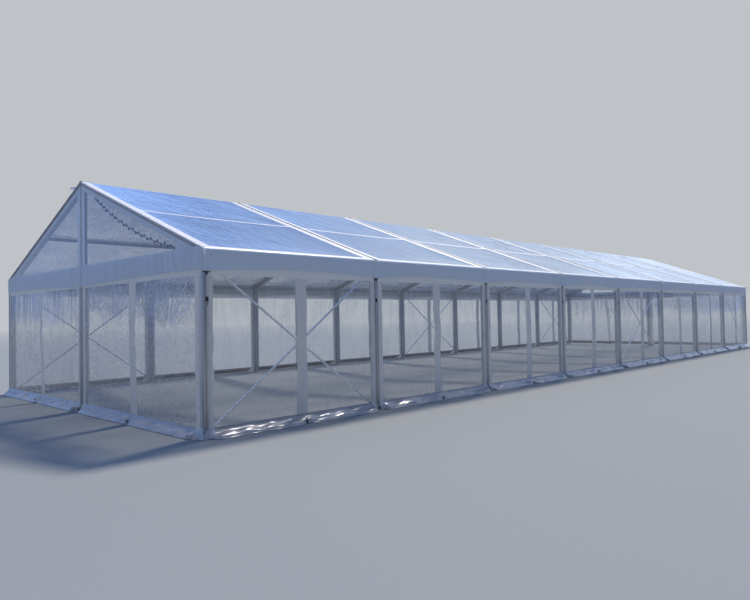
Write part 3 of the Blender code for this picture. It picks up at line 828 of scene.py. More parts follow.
# %% Cut of a curtain
CURTAIN_OUT = 0.0035
STRIP_PULL = 0.4
PINCH, FRILL = 0.014, 0.011
FILM_RIPPLE, HEADER_RIPPLE = 0.0035, 0.0015
FOLD_REACH = 0.45
CRUMPLE_OUT, CRUMPLE_UP, BUCKLE_UP = 0.010, 0.008, 0.034
SKIRT_FOOT = 0.006
SKIRT_PROFILE = ((0.000, 0.130), (0.003, 0.120), (0.009, 0.106), (0.018, 0.093), (0.032, 0.081), (0.052, 0.070),
                 (0.074, 0.060), (0.096, 0.050), (0.116, 0.038), (0.130, 0.022), (0.140, 0.010), (0.150, 0.006))


def curtain_columns(length, hems, strip):
    def edge(hem):
        return [0.0, 0.004, 0.012, 0.04, hem - 0.035, hem - 0.012, hem]
    middle = length / 2
    half = strip / 2
    welds = [-half, -half + 0.012, -half * 0.5, 0.0, half * 0.5, half - 0.012, half]
    left = edge(hems[0]) + spread(hems[0], middle - half, 0.055)[1:-1]
    right = edge(hems[1]) + spread(hems[1], middle - half, 0.055)[1:-1]
    return left + [middle + s for s in welds] + [length - s for s in right[::-1]]


def curtain_rows():
    rows = [("header", z) for z in (WALL_TOP, 2.22, 2.14, 2.06, 2.005)]
    rows += [("film", z) for z in spread(WALL_TOP - HEADER, SKIRT_TOP + 0.012, 0.06)]
    return rows + [("skirt", k) for k in range(len(SKIRT_PROFILE))]


print("rows down a curtain", len(curtain_rows()))


# %% How a curtain hangs
def curtain(name, node, length, where, seed, hems, strip, turn_out, corner, flip, film, upright_folds, wander_size,
            lean=(0.0, 0.0)):
    """where(along, out, z) puts it on its wall. turn_out is the share of the skirt left at each
    end leg, corner is how far it spreads there, and lean moves the strip at its top and foot."""
    chance = random.Random(seed)
    columns, rows = curtain_columns(length, hems, strip), curtain_rows()
    middle, half = length / 2, strip / 2
    sway = make_waves(seed + 1, 3, (0.7, 1.9), (1.0, 2.0))
    pinch = make_waves(seed + 2, 5, (0.16, 0.7), (1.0, 2.0))
    ripple = make_waves(seed + 3, 7, (0.12, 0.5), (0.9, 3.0))
    fold = make_waves(seed + 4, 6, (0.06, 0.16), (1.2, 3.0))
    crumple = make_waves(seed + 5, 7, (0.30, 1.4), (0.3, 0.9))
    frill = make_waves(seed + 6, 5, (0.14, 0.6), (1.0, 2.0))
    buckle = make_waves(seed + 7, 5, (0.22, 0.80), (0.15, 0.4))
    billows = [chance.uniform(-0.012, 0.026) for _ in range(2)]
    strip_out = chance.uniform(0.004, 0.020)

    def skirt(along, bead, step):
        out, z = SKIRT_PROFILE[step]
        share = out / SKIRT_PROFILE[-1][0]
        end = 0 if along < middle else 1
        from_leg = min(along, length - along)
        freed = min(1.0, max(0.0, (from_leg - hems[end] + 0.045) / 0.045))
        full = turn_out[end] + (1 - turn_out[end]) * freed
        pegged = 0.25 * math.exp(-((along - middle) / 0.06) ** 2)
        out = out * full * (1 - pegged) + CRUMPLE_OUT * crumple(along, share * 0.3) * share * freed
        roll = z - SKIRT_FOOT - (SKIRT_TOP - SKIRT_FOOT) * (1 - share)
        z = SKIRT_FOOT + (SKIRT_TOP - SKIRT_FOOT) * (1 - share) + roll * (0.15 + 0.85 * freed) * (1 - pegged)
        z += (CRUMPLE_UP * crumple(along + 3.0, 0.2) + BUCKLE_UP * buckle(along, out)) * hump(share) * freed
        spreading = corner[end] * share * math.exp(-from_leg / 0.08) * (1 if end else -1)
        follow = lean[1] * math.exp(-(max(0.0, abs(along - middle) - half) / STRIP_PULL) ** 2)
        return where(along + spreading + follow, CURTAIN_OUT + bead * (1 - share) + out, max(0.005, z))

    def place(i, j):
        along = columns[i]
        kind, z = rows[j]
        bead = {0: -0.003, 1: 0.0025, 2: 0.0008}.get(min(i, len(columns) - 1 - i), 0.0)
        if kind == "skirt":
            return skirt(along, bead, z)
        end = 0 if along < middle else 1
        from_leg = min(along, length - along)
        free = min(1.0, max(0.0, (from_leg - hems[end] * 0.5) / 0.35))
        depth = (WALL_TOP - HEADER) - z
        hung = hump(depth / (WALL_TOP - HEADER - SKIRT_TOP)) if kind == "film" else 0.0
        reach = abs(along - middle)
        near_strip = math.exp(-(max(0.0, reach - half) / STRIP_PULL) ** 2)
        leaned = lean[1] + (lean[0] - lean[1]) * (z - SKIRT_TOP) / (WALL_TOP - SKIRT_TOP)
        wander = (wander_size * sway(z, 0.0) * hung + leaned) * near_strip
        if half - 0.02 < reach < half + 0.1:
            outward = math.copysign(1, along - middle)
            wander -= PINCH * (0.5 + 1.3 * pinch(z, 7.0 * outward)) * hung * outward
        if hems[end] - 0.04 < from_leg < hems[end] + 0.01:
            wander += (FRILL + wander_size * 0.4) * frill(z, end * 5.0) * hung * (1 if end == 0 else -1)
        span = along / middle if end == 0 else (length - along) / middle
        out = billows[end] * hump(span) * hung + strip_out * math.exp(-(reach / 0.35) ** 2) * hung
        if kind == "film":
            folded = upright_folds * fold(along, z) * free * math.exp(-depth / FOLD_REACH)
            out += FILM_RIPPLE * ripple(along, z) * free + folded
        else:
            out += HEADER_RIPPLE * ripple(along, z) * free
        return where(along + wander, CURTAIN_OUT + bead + out, z)

    def finish(i, j):
        kind, z = rows[j]
        along = (columns[i] + columns[i + 1]) / 2
        end = 0 if along < middle else 1
        hem = min(along, length - along) < hems[end]
        if kind == "skirt":
            return 0 if hem else 2
        if kind == "header":
            return 3
        return 0 if hem or abs(along - middle) < half else 1

    piece = grid_sheet(name, columns, rows, place, finish, [hem_pvc, film, skirt_pvc, header_pvc], FILM_THICKNESS, flip)
    dress(piece, node, slot="clear_pvc")
    return piece


# %% Curtains of the sides
curtains = []
for label, side in SIDES:
    for bay in range(1, BAYS + 1):
        start = -HALF_LENGTH if bay == 1 else frame_x(bay - 1)
        stop = HALF_LENGTH if bay == BAYS else frame_x(bay)
        start, stop = start + WALL_SLOT / 2, stop - WALL_SLOT / 2
        seed = bay * 11 + (500 if side > 0 else 0)
        corner = (0.10 if bay == 1 else 0.0, 0.10 if bay == BAYS else 0.0)
        curtains.append(curtain(
            f"{label}_curtain_{bay}", f"{label}_wall", stop - start,
            lambda along, out, z, start=start, side=side: (start + along, side * (HALF_WIDTH + out), z),
            seed, (SIDE_HEM, SIDE_HEM), STRIP, (0.25, 0.25), corner, side > 0, clear_wall, 0.0015,
            random.Random(seed).uniform(0.010, 0.030)))
print("side curtains", len(curtains))

# %% Curtains of the gables
END_CUTS = {"near": ((0.165, END_HEM), 0.21, (0.45, 0.30), (0.10, 0.0), 0.018, (0.03, 0.0),
                     clear_near_end, 0.005),
            "far": ((0.095, 0.10), 0.14, (0.30, 0.45), (0.0, 0.10), 0.040, (0.07, -0.12), clear_far_end, 0.010)}
for label, end in ENDS:
    for name, low in (("near", -HALF_WIDTH), ("far", 0.0)):
        start = low + WALL_SLOT / 2
        hems, strip, turn_out, corner, wander, lean, film, folds = END_CUTS[name]
        seed = 900 + (31 if name == "far" else 0) + (60 if end > 0 else 0)
        curtains.append(curtain(
            f"{label}_{name}_curtain", f"{label}_wall", HALF_WIDTH - WALL_SLOT,
            lambda along, out, z, start=start, end=end: (end * (HALF_LENGTH + out), start + along, z),
            seed, hems, strip, turn_out, corner, end < 0, film, folds, wander, lean))
print("curtains", len(curtains), "with", len(curtains[0].data.polygons), "cells each")

# %% [markdown]
# Gable sheets
#
# The triangle above the wall is closed by two sheets, one each side of the middle post. Each
# has a clear window in a white frame, and stops short of the roof so that the face of the
# rafter shows above it. The window's low corner is cut off square, as on the real one.

# %% Two sheets in each gable
GABLE_FOOT = WALL_TOP + 0.001
GABLE_TOP_GAP = 0.066
GABLE_BAND = 0.138
GABLE_CORNER = 0.68
GABLE_HEM = 0.122
WINDOW_FOOT = EAVE + 0.012


def gable_sheet(name, end, side, node, seed):
    inner, outer = WALL_SLOT / 2, HALF_WIDTH - 0.004
    hem = GABLE_HEM
    corner = HALF_WIDTH - GABLE_CORNER
    ys = [inner, inner + 0.004, inner + 0.012, inner + 0.06, inner + hem - 0.012, inner + hem]
    ys += spread(inner + hem, corner, 0.07)[1:] + spread(corner, outer, 0.08)[1:]
    rows = [0.0, 0.5, 1.0] + [1 + t for t in spread(0.0, 1.0, 0.055)[1:]] + [2.15, 2.6, 2.94, 3.0]
    ripple = make_waves(seed, 7, (0.12, 0.6), (0.3, 1.4))

    def levels(y):
        top = roof_z(y) - GABLE_TOP_GAP
        foot = min(GABLE_FOOT, top - 0.030)
        low = min(WINDOW_FOOT, foot + 0.45 * (top - foot))
        high = max(roof_z(y) - GABLE_BAND, low + 0.3 * (top - low))
        return foot, low, high, top

    def place(i, j):
        y, row = ys[i], rows[j]
        marks = levels(y)
        base = min(2, int(row))
        z = marks[base] + (marks[base + 1] - marks[base]) * (row - base)
        bead = {0: -0.003, 1: 0.0025, 2: 0.0008}.get(i, 0.0)
        open_share = hump((y - inner) / (corner - inner)) * hump(min(1.0, max(0.0, row - 1)))
        out = 0.003 + bead + 0.004 * ripple(y, z) * open_share ** 0.5
        return (end * (HALF_LENGTH + out), side * y, z)

    def finish(i, j):
        clear = 1 <= rows[j] < 2 and ys[i] >= inner + hem - 1e-6 and ys[i + 1] <= corner + 1e-6
        return 1 if clear else 0

    piece = grid_sheet(name, ys, rows, place, finish, [white_pvc, clear_gable], FILM_THICKNESS, (end < 0) == (side > 0))
    dress(piece, node, slot="clear_pvc")
    return piece


gable_sheets = []
for label, end in ENDS:
    for name, side in SIDES:
        gable_sheets.append(gable_sheet(f"{label}_{name}_gable_window", end, side, f"{label}_gable_sheet",
                                        300 + side * 7 + end * 13))
print("gable sheets", len(gable_sheets))

# %% [markdown]
# Gable valances
#
# The valance of a gable comes as two lengths that meet at the middle post. It is cut a little
# long, so it gathers into fine upright folds towards the corners, and it hangs lowest at the
# post.

# %% Valances across the gables
GABLE_VALANCE_TOP = EAVE + 0.020


def gable_valance(name, end, side, node, seed):
    ys = spread(0.0, HALF_WIDTH + OVERHANG - 0.002, 0.028)
    rows = [1.0, 0.985, 0.95, 0.85, 0.7, 0.55, 0.4, 0.25, 0.12, 0.09, 0.02, 0.0]
    gather = make_waves(seed, 7, (0.06, 0.20), (0.5, 1.2))
    swing = make_waves(seed + 1, 4, (0.6, 1.6), (2.0, 4.0))

    def place(i, j):
        y, t = ys[i], rows[j]
        share = y / ys[-1]
        top = min(GABLE_VALANCE_TOP, roof_z(y) - 0.004)
        low = EAVE - 0.318 + 0.045 * share + 0.022 * hump(share)
        z = low + (top - low) * t
        gathered = 0.019 * (0.12 + 0.85 * min(1.0, max(0.0, share - 0.45) / 0.35)) * hump(0.5 + t * 0.5)
        settle = min(1.0, (ys[-1] - y) / 0.10)
        out = OVERHANG - 0.003 + gathered * gather(y, z) * settle + 0.006 * swing(y, z) * (1 - t) * settle
        out += (0.008 * hump(t) - 0.008 * (1 - t) ** 3) * settle
        out = max(out, 0.008 + 0.004 * (1 - t))
        return (end * (HALF_LENGTH + out), side * (y + 0.0006), z)

    piece = grid_sheet(name, ys, rows, place, lambda i, j: 0, [gathered_pvc], FILM_THICKNESS, (end < 0) != (side > 0))
    dress(piece, node, slot="white_pvc")
    return piece


gable_valances = []
for label, end in ENDS:
    for name, side in SIDES:
        gable_valances.append(gable_valance(f"{label}_{name}_gable_valance", end, side, f"{label}_gable_sheet",
                                            400 + side * 5 + end * 17))
print("gable valances", len(gable_valances))

# %% [markdown]
# Metal of the frame
#
# The CAD legs, rafters, beams and rails already have the right shape. They only need their
# finish, and a small bevel so that each edge catches the light.

# %% Finish of the metal nodes
EDGE = 0.0015
kept = [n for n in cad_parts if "leg_" in n or "rafter" in n or "beam" in n or "purlin" in n
        or "post" in n or "rail" in n]
for name in kept:
    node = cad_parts[name]
    node.data.materials.clear()
    node.data.materials.append(aluminium)
    edge = node.modifiers.new("Edge", "BEVEL")
    edge.width = EDGE
    edge.segments = 2
    edge.limit_method = "ANGLE"
    edge.angle_limit = math.radians(35)
print("metal nodes", len(kept))


# %% [markdown]
# Small hardware
#
# Fittings are drawn as chamfered blocks and round bars and joined by kind, because a tent has
# dozens of each. The chamfers matter: a sharp block never catches a highlight.

# %% Builders for hardware
THIN_BAR = {"sides": 8, "round_ends": 0.001}


class Hardware:
    """Collects chamfered blocks, bars and tubes into one mesh."""

    def __init__(self):
        self.shape = bmesh.new()

    def block(self, middle, size, chamfer=0.002, turn=None):
        made = bmesh.ops.create_cube(self.shape, size=1.0)["verts"]
        bmesh.ops.scale(self.shape, vec=size, verts=made)
        edges = {e for v in made for e in v.link_edges}
        cut = bmesh.ops.bevel(self.shape, geom=list(edges), offset=min(chamfer, min(size) * 0.4), segments=2,
                              profile=0.6, affect="EDGES")
        made = list({v for f in cut["faces"] for v in f.verts} | {v for v in made if v.is_valid})
        if turn:
            bmesh.ops.transform(self.shape, matrix=turn, verts=made)
        bmesh.ops.translate(self.shape, vec=Vector(middle), verts=made)

    def bar(self, start, end, radius, sides=14, round_ends=0.0):
        start, end = Vector(start), Vector(end)
        axis = end - start
        turn = axis.to_track_quat("Z", "Y").to_matrix().to_4x4()
        steps = [(0.0, radius - round_ends), (round_ends, radius), (axis.length - round_ends, radius),
                 (axis.length, radius - round_ends)]
        loops = []
        for height, wide in steps:
            loops.append([self.shape.verts.new(start + turn @ Vector((
                wide * math.cos(2 * math.pi * k / sides), wide * math.sin(2 * math.pi * k / sides), height)))
                for k in range(sides)])
        for low, high in zip(loops, loops[1:]):
            for k in range(sides):
                self.shape.faces.new((low[k], low[(k + 1) % sides], high[(k + 1) % sides], high[k]))
        self.shape.faces.new(loops[0][::-1])
        self.shape.faces.new(loops[-1])

    def finish(self, name, materials, slot, nodes=()):
        bmesh.ops.remove_doubles(self.shape, verts=self.shape.verts, dist=1e-6)
        bmesh.ops.recalc_face_normals(self.shape, faces=self.shape.faces)
        mesh = bpy.data.meshes.new(name)
        self.shape.to_mesh(mesh)
        self.shape.free()
        for material in materials:
            mesh.materials.append(material)
        mesh.polygons.foreach_set("use_smooth", [True] * len(mesh.polygons))
        thing = bpy.data.objects.new(name, mesh)
        bpy.context.scene.collection.objects.link(thing)
        edges = thing.modifiers.new("Crisp", "EDGE_SPLIT")
        edges.split_angle = math.radians(40)
        return dress(thing, *nodes, slot=slot)


print("hardware builders ready")

# %% [markdown]
# Cross braces
#
# Two steel tubes cross in each braced bay, corner to corner. One passes in front of the other,
# and each ends in a flattened, bolted tongue on a lug of the leg.

# %% Cross braces
TUBE = 0.015
BRACE_FOOT = 0.085
BRACE_TOP = EAVE - 0.205
BRACE_OFFSET = 0.0155


def cross_brace(label, side, bay):
    kit = Hardware()
    y = side * (HALF_WIDTH - LEG_DEPTH / 2)
    left = frame_x(bay - 1) + LEG_WIDTH / 2
    right = frame_x(bay) - LEG_WIDTH / 2
    for offset, low, high in ((BRACE_OFFSET, BRACE_FOOT, BRACE_TOP), (-BRACE_OFFSET, BRACE_TOP, BRACE_FOOT)):
        start, end = Vector((left + 0.03, y + offset, low)), Vector((right - 0.03, y + offset, high))
        along = (end - start).normalized()
        kit.bar(start + along * 0.05, end - along * 0.05, TUBE, sides=20, round_ends=0.003)
        turn = along.to_track_quat("X", "Z").to_matrix().to_4x4()
        for spot in (start + along * 0.035, end - along * 0.035):
            kit.block(spot, (0.10, 0.007, 0.032), 0.002, turn)
        for spot in (start, end):
            kit.bar(spot + Vector((0, -0.016, 0)), spot + Vector((0, 0.016, 0)), 0.008, sides=6, round_ends=0.001)
    for x, tilt in ((left, 1), (right, -1)):
        for z in (BRACE_FOOT, BRACE_TOP):
            kit.block((x + tilt * 0.0035, y, z), (0.006, 0.046, 0.070), 0.0015)
            for dy in (-BRACE_OFFSET, BRACE_OFFSET):
                kit.block((x + tilt * 0.022, y + dy * 0.35, z), (0.036, 0.005, 0.038), 0.0015)
    middle = (left + right) / 2
    kit.bar((middle, y - 0.034, (BRACE_FOOT + BRACE_TOP) / 2), (middle, y + 0.034, (BRACE_FOOT + BRACE_TOP) / 2),
            0.006, sides=6, round_ends=0.001)
    return kit.finish(f"{label}_brace_tubes_{bay}", [steel], "galvanised_steel", nodes=[f"{label}_cross_brace_{bay}"])


braces = [cross_brace(label, side, bay) for label, side in SIDES for bay in BRACED_BAYS]
print("braces", len(braces))

# %% [markdown]
# Latches, brackets and pegs
#
# Each leg carries a dark tension latch at about head height, a bracket that shows just under
# the valance and a bolted base plate. Pegs hold the skirt down at the inner legs, at the gable
# posts and at the strips.

# %% Latch and bracket of each leg
LATCH_Z = 1.67
LATCH_FOOT = LATCH_Z - 0.045
BRACKET_Z = EAVE - VALANCE - 0.012


def leg_latches(label, side):
    kit = Hardware()
    out = side * (HALF_WIDTH + 0.009)
    for number in range(BAYS + 1):
        x = frame_x(number)
        kit.block((x, out, LATCH_Z + 0.022), (0.044, 0.014, 0.046), 0.004)
        kit.block((x, out + side * 0.007, LATCH_Z + 0.026), (0.026, 0.010, 0.058), 0.004)
        for dx in (-0.017, 0.017):
            kit.bar((x + dx, out, LATCH_Z + 0.005), (x + dx * 0.5, out, LATCH_FOOT), 0.004, **THIN_BAR)
        kit.bar((x - 0.0105, out, LATCH_FOOT), (x + 0.0105, out, LATCH_FOOT), 0.0045, **THIN_BAR)
        kit.bar((x, out, LATCH_FOOT), (x, out, LATCH_Z - 0.080), 0.0035, **THIN_BAR)
        kit.block((x, out, BRACKET_Z), (0.100, 0.012, 0.012), 0.003)
        kit.block((x, out, BRACKET_Z - 0.018), (0.030, 0.010, 0.036), 0.003)
    return kit.finish(f"{label}_leg_latches", [fitting], "black_fitting")


for label, side in SIDES:
    leg_latches(label, side)
print("latches on", 2 * (BAYS + 1), "legs")


# %% Bolts of the base plates
def base_bolts(label, side):
    kit = Hardware()
    y = side * (HALF_WIDTH + 0.035)
    for number in range(BAYS + 1):
        for dx in (-0.07, 0.07):
            x = frame_x(number) + dx
            kit.bar((x, y, 0.008), (x, y, 0.018), 0.011, sides=6, round_ends=0.0015)
            kit.bar((x, y, 0.016), (x, y, 0.030), 0.006, round_ends=0.001)
    return kit.finish(f"{label}_base_bolts", [steel], "galvanised_steel")


for label, side in SIDES:
    base_bolts(label, side)
print("base bolts", 4 * (BAYS + 1))


# %% Pegs of the skirts
def skirt_pegs(name, spots, outward):
    kit = Hardware()
    for x, y in spots:
        base = Vector((x, y, 0.0)) + outward * 0.112
        lean = outward * 0.010
        kit.bar(base, base + lean + Vector((0, 0, 0.062)), 0.006, round_ends=0.001)
        kit.bar(base + lean + Vector((0, 0, 0.056)), base + lean - outward * 0.030 + Vector((0, 0, 0.060)), 0.005,
                round_ends=0.001)
        kit.block(base - outward * 0.022 + Vector((0, 0, 0.030)), (0.026, 0.026, 0.026), 0.004)
    return kit.finish(name, [fitting], "black_fitting")


for label, side in SIDES:
    spots = [(-HALF_LENGTH + BAY * (k + 0.5), side * HALF_WIDTH) for k in range(BAYS)]
    spots += [(frame_x(k), side * (HALF_WIDTH - 0.055)) for k in range(1, BAYS)]
    skirt_pegs(f"{label}_skirt_pegs", spots, Vector((0, side, 0)))
for label, end in ENDS:
    spots = [(end * HALF_LENGTH, -HALF_WIDTH / 2), (end * HALF_LENGTH, HALF_WIDTH / 2),
             (end * (HALF_LENGTH - 0.05), 0.0)]
    skirt_pegs(f"{label}_skirt_pegs", spots, Vector((end, 0, 0)))
print("skirt pegs set")

# %% [markdown]
# Wall profiles
#
# Each leg and gable post carries a proud metal strip with grooves that hold the curtains'
# beads. A groove reads as a dark line of shade, so a thin dark block lies over it as a painted
# shade. On the legs and beside the corner legs, a thin white bar paints the highlight where a
# curtain's edge catches the light, for part of the height.

# %% Grooved profiles of the legs and the gable posts
PROFILE = 0.074
PROFILE_OUT = 0.0065
PROFILE_FOOT, PROFILE_TOP = 0.014, 2.026


def wall_profiles():
    """A proud strip of metal on each leg and gable post, with a dark line of painted shade where each
    bead goes in and, to its right, a white bar that paints the highlight on the curtain's edge."""
    faces, lines, edges = Hardware(), Hardware(), Hardware()
    chance = random.Random(41)
    middle, tall = (PROFILE_FOOT + PROFILE_TOP) / 2, PROFILE_TOP - PROFILE_FOOT
    for side in (-1, 1):
        for number in range(1, BAYS):
            faces.block((frame_x(number), side * (HALF_WIDTH + PROFILE_OUT), middle), (PROFILE, 0.012, tall), 0.003)
            for dx in (-0.022, 0.022):
                lines.block((frame_x(number) + dx, side * (HALF_WIDTH + PROFILE_OUT + 0.006), middle),
                            (0.006, 0.002, tall), 0.0004)
            levels = spread(chance.uniform(0.75, 0.95), chance.uniform(1.45, 1.60), 0.06)
            spots = [Vector((frame_x(number) + 0.044 + chance.uniform(-0.003, 0.003), side * (HALF_WIDTH + 0.009), z))
                     for z in levels]
            for low, high in zip(spots, spots[1:]):
                edges.bar(low, high, 0.0045, **THIN_BAR)
        for end in (-1, 1):
            faces.block((end * (HALF_LENGTH - 0.016), side * (HALF_WIDTH - 0.016), middle),
                        (0.056, 0.056, tall), 0.006)
            lines.block((end * (HALF_LENGTH - 0.018), side * (HALF_WIDTH + 0.0122), middle),
                        (0.006, 0.002, tall), 0.0004)
            edges.bar((end * (HALF_LENGTH - 0.030), side * (HALF_WIDTH + 0.012), 1.10),
                      (end * (HALF_LENGTH - 0.030), side * (HALF_WIDTH + 0.012), 1.98), 0.003, **THIN_BAR)
    for end in (-1, 1):
        faces.block((end * (HALF_LENGTH + PROFILE_OUT), 0.012, middle - 0.012), (0.012, 0.090, tall - 0.024), 0.003)
        for dy in (-0.020, 0.044):
            lines.block((end * (HALF_LENGTH + PROFILE_OUT + 0.006), dy, middle - 0.012),
                        (0.002, 0.006, tall - 0.024), 0.0004)
    faces.finish("wall_profiles", [aluminium], "aluminium")
    # The dark blocks are painted shade in the grooves, and the white bars painted highlights on the curtains' edges.
    lines.finish("bead_slot_painted_shade", [slot_shade], "black_fitting")
    edges.finish("bead_edge_painted_highlights", [painted_sunlit_pvc], "white_pvc")


wall_profiles()
print("profiles", 2 * (BAYS + 1) + 2)

# %% [markdown]
# Bead grooves of the rafters
#
# The covers slide into grooves along every rafter. On top, between two covers, the groove reads
# as a dark line of shade, so a thin black strip stands a little proud there as a painted shade.
# On the end rafters the face of the channel shows as a band of dull metal, between the roof's
# lip and the gable sheet, darkened as a painted shade under the lip.

# %% Grooves between the covers and channels of the gables
GROOVE = 0.028
CHANNEL = 0.062
grooves, channels = Hardware(), Hardware()
for number in range(BAYS + 1):
    for side in (-1, 1):
        foot, top = HALF_WIDTH - 0.01, 0.01
        lean = math.atan(SLOPE) * -side
        turn = Matrix.Rotation(lean, 4, "X")
        centre_y = (foot + top) / 2
        if 0 < number < BAYS:
            kit, x, depth, size = grooves, frame_x(number), 0.001, (GROOVE, (foot - top) * SLANT, 0.016)
        else:
            kit, x, depth = channels, math.copysign(HALF_LENGTH + 0.0012, frame_x(number)), 0.035
            size = (0.002, (foot - top) * SLANT, CHANNEL)
        kit.block((x, side * centre_y, roof_z(centre_y, depth)), size, 0.0005, turn)
# The black strips paint the shade in the grooves, and the channel plates the shade under the roof's lip.
grooves.finish("rafter_groove_painted_shade", [fitting], "black_fitting")
channels.finish("gable_channels", [channel], "black_fitting")
print("grooves", 2 * (BAYS + 1))

# %% [markdown]
# Bead tails, eave knobs and the ridge tube
#
# The bead that slides into a rafter is left a hand too long, so a white tail hangs at each
# eave, in a brighter white that paints the sunlight catching it. A dark knob closes the groove
# of each inner rafter there, a dark cap closes each peak, and the end of a white tube shows
# beside the front one.

# %% Tails, knobs and the ridge tube
tails, knobs = Hardware(), Hardware()
chance = random.Random(21)
for _, side in SIDES:
    for number in range(BAYS + 1):
        x = frame_x(number)
        y = side * (HALF_WIDTH + OVERHANG + 0.012)
        if number in (0, BAYS):
            x = math.copysign(HALF_LENGTH + 0.004, x)
        for dx in ((-0.018, 0.018) if 0 < number < BAYS else (0.0,)):
            swing, drop = chance.uniform(-0.020, 0.020), chance.uniform(0.05, 0.10)
            top = Vector((x + dx * 0.5, y - side * 0.016, EAVE + 0.002))
            knee = Vector((x + dx * 0.7 + swing * 0.4, y + side * 0.010, EAVE - 0.008))
            tails.bar(top, knee, 0.008, **THIN_BAR)
            tails.bar(knee - Vector((0, 0, -0.003)), knee + Vector((swing, side * drop * 0.42, -drop)), 0.0075,
                      **THIN_BAR)
        if 0 < number < BAYS:
            knobs.block((x, y - side * 0.012, EAVE + 0.004), (0.020, 0.014, 0.012), 0.003)
for end in (-1, 1):
    knobs.block((end * (HALF_LENGTH + 0.002), 0.0, roof_z(0.0) - 0.006), (0.030, 0.060, 0.016), 0.004)
tails.finish("bead_tails", [painted_sunlit_pvc], "white_pvc")
knobs.finish("eave_knobs", [fitting], "black_fitting")
stub = Hardware()
stub.bar((frame_x(0) + 0.02, 0.20, 3.672), (frame_x(0) - 0.02, 0.46, 3.690), 0.022, sides=20, round_ends=0.004)
stub.finish("ridge_tube", [white_pvc], "white_pvc")
print("tails, knobs and ridge tube made")

# %% [markdown]
# String of small lights
#
# A cable of festoon caps hangs just inside the front gable, tied at both ends to the rafter.
# The cable is a curve of one open line, and the caps are joined into one piece that goes with
# it.

# %% Light string
STRING_ROUTE = ((-0.42, 0.0), (-0.60, 0.052), (-0.85, 0.100), (-1.15, 0.143), (-1.50, 0.168),
                (-1.90, 0.180), (-2.30, 0.164), (-2.70, 0.126), (-3.10, 0.064), (-3.42, 0.0))
STRING_DIAMETER = 0.010
STRING_POINTS = 78
under = 0.1263 + 0.0003 + STRING_DIAMETER / 2
route = [Vector((frame_x(0), y, roof_z(y, under) - drop)) for y, drop in STRING_ROUTE]
ends = [2 * route[0] - route[1]] + route + [2 * route[-1] - route[-2]]
string_line = []
for i in range(STRING_POINTS):
    spot = i / (STRING_POINTS - 1) * (len(route) - 1)
    first = min(int(spot), len(route) - 2)
    t = spot - first
    a, b, c, d = ends[first:first + 4]
    string_line.append(0.5 * (2 * b + t * (c - a) + t * t * (2 * a - 5 * b + 4 * c - d)
                              + t * t * t * (3 * b - a - 3 * c + d)))
curve = bpy.data.curves.new("light_cable", "CURVE")
curve.dimensions = "3D"
curve.bevel_depth = STRING_DIAMETER / 2
curve.bevel_resolution = 3
curve.use_fill_caps = True
spline = curve.splines.new("POLY")
spline.points.add(STRING_POINTS - 1)
for point, where in zip(spline.points, string_line):
    point.co = (*where, 1.0)
curve.materials.append(cable)
light_cable = bpy.data.objects.new("light_cable", curve)
bpy.context.scene.collection.objects.link(light_cable)
dress(light_cable, "light_string", slot="black_cable")
kit = Hardware()
chance = random.Random(5)
for i in range(2, STRING_POINTS - 1, 2):
    at = string_line[i]
    lean = Vector((chance.uniform(-0.4, 0.4), chance.uniform(-0.3, 0.3), (-1) ** (i // 2))).normalized()
    kit.bar(at + lean * 0.001, at + lean * 0.022, 0.0125, sides=10, round_ends=0.003)
    kit.bar(at + lean * 0.020, at + lean * 0.036, 0.010, sides=10, round_ends=0.004)
lamps = kit.finish("light_caps", [lamp_glass], "black_cable")
string_length = sum((b - a).length for a, b in zip(string_line, string_line[1:]))
tuple(string_line[0])
print("string", round(string_length, 3), "m")

# %% [markdown]
# Studio
#
# A plain pale floor runs out to the horizon and fades into the backdrop, so no edge shows. The
# main light is a wide, soft sun behind the tent on the right, so the near side lies in cool
# shade and the roof shines. The rest comes from a soft blue sky, which is dimmer on the near
# side. The camera sees the plain backdrop in its place, while the film and the metal mirror
# the sky.

# %% Floor and backdrop
BACKDROP = (0.52, 0.545, 0.575)
FLOOR = (0.31, 0.315, 0.30)
FADE_START, FADE_END = 25.0, 120.0
floor_mesh = bmesh.new()
bmesh.ops.create_circle(floor_mesh, cap_ends=True, segments=96, radius=380.0)
mesh = bpy.data.meshes.new("floor")
floor_mesh.to_mesh(mesh)
floor_mesh.free()
floor = bpy.data.objects.new("floor", mesh)
bpy.context.scene.collection.objects.link(floor)
material, tree, shader, place = open_material("floor", FLOOR, 0.9)
mesh.materials.append(material)
away = add(tree, "ShaderNodeVectorMath", {0: place}, operation="LENGTH").outputs["Value"]
fade = remap(tree, away, FADE_START, FADE_END)
glow = add(tree, "ShaderNodeEmission", {"Color": (*BACKDROP, 1.0), "Strength": 1.0})
mixed = add(tree, "ShaderNodeMixShader", {0: fade, 1: shader.outputs[0], 2: glow.outputs[0]})
tree.links.new(mixed.outputs[0], tree.nodes["Material Output"].inputs["Surface"])
floor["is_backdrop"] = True

# %% Soft light all round
SUN = Vector((0.72, 0.22, 1.0))
BRIGHT_SIDE = Vector((0.45, 0.65, 0.61)).normalized()
LOW_GLOW = Vector((0.93, 0.30, 0.22)).normalized()
world = bpy.data.worlds.new("backdrop")
bpy.context.scene.world = world
world.use_nodes = True
tree = world.node_tree
plain = tree.nodes["Background"]
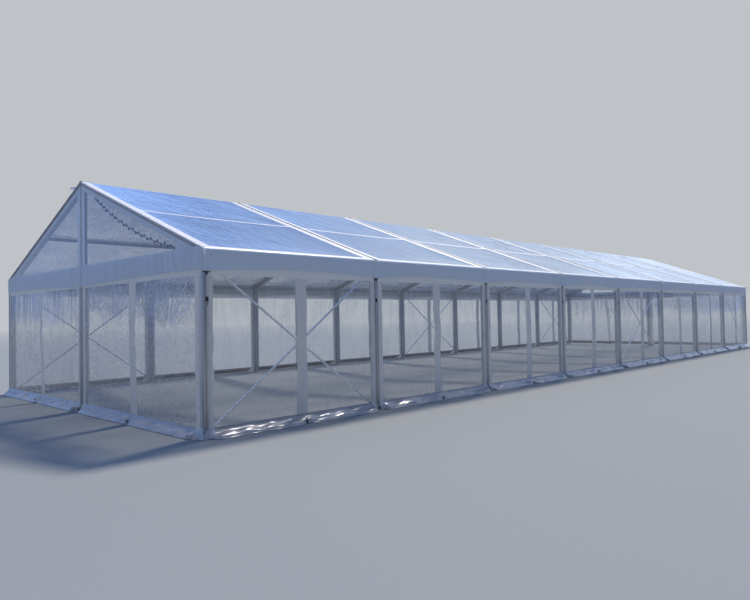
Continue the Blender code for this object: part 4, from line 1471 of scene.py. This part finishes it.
plain.inputs["Color"].default_value = (*BACKDROP, 1.0)
toward = tree.nodes.new("ShaderNodeTexCoord").outputs["Generated"]
up = add(tree, "ShaderNodeSeparateXYZ", {0: toward}).outputs["Z"]
sky = blend_colour(tree, remap(tree, up, 0.0, 0.22), (0.36, 0.50, 0.84, 1.0), (0.27, 0.44, 0.88, 1.0))
squashed = stretched(tree, toward, (1.0, 1.0, 0.35))
panels = noise(tree, squashed, 3.4, 1.0)
level = remap(tree, panels, 0.38, 0.64, 0.64, 1.10)
glow_way = add(tree, "ShaderNodeVectorMath", {0: toward, 1: LOW_GLOW},
               operation="DOT_PRODUCT").outputs["Value"]
low_glow = maths(tree, "POWER", remap(tree, glow_way, 0.75, 1.0), 2.0)
sky = blend_colour(tree, times(tree, low_glow, 1.6, clamp=True), sky, (0.58, 0.68, 0.84, 1.0))
level = plus(tree, level, times(tree, low_glow, 0.32))
sun_way = add(tree, "ShaderNodeVectorMath", {0: toward, 1: BRIGHT_SIDE},
              operation="DOT_PRODUCT").outputs["Value"]
level = times(tree, level, remap(tree, sun_way, -0.6, 1.0, 0.06, 1.25))
around = add(tree, "ShaderNodeBackground", {"Color": sky, "Strength": level})
seen = tree.nodes.new("ShaderNodeLightPath").outputs["Is Camera Ray"]
mixed = add(tree, "ShaderNodeMixShader", {0: seen, 1: around.outputs[0], 2: plain.outputs[0]})
tree.links.new(mixed.outputs[0], tree.nodes["World Output"].inputs["Surface"])

# %% Soft sun
sun_data = bpy.data.lights.new("soft_sun", "SUN")
sun_data.energy = 3.2
sun_data.angle = math.radians(8)
sun_data.color = (1.0, 0.94, 0.86)
sun = bpy.data.objects.new("soft_sun", sun_data)
sun.rotation_euler = (-SUN).to_track_quat("-Z", "Y").to_euler()
bpy.context.scene.collection.objects.link(sun)
bpy.context.scene.view_settings.view_transform = "Standard"
print("studio ready")

# %% Measure and finish
low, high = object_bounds()
sizes = {"cad": [list(cad_low), list(cad_high)], "visual": [list(low), list(high)]}
print("visual box", [round(v, 3) for v in (*low, *high)])
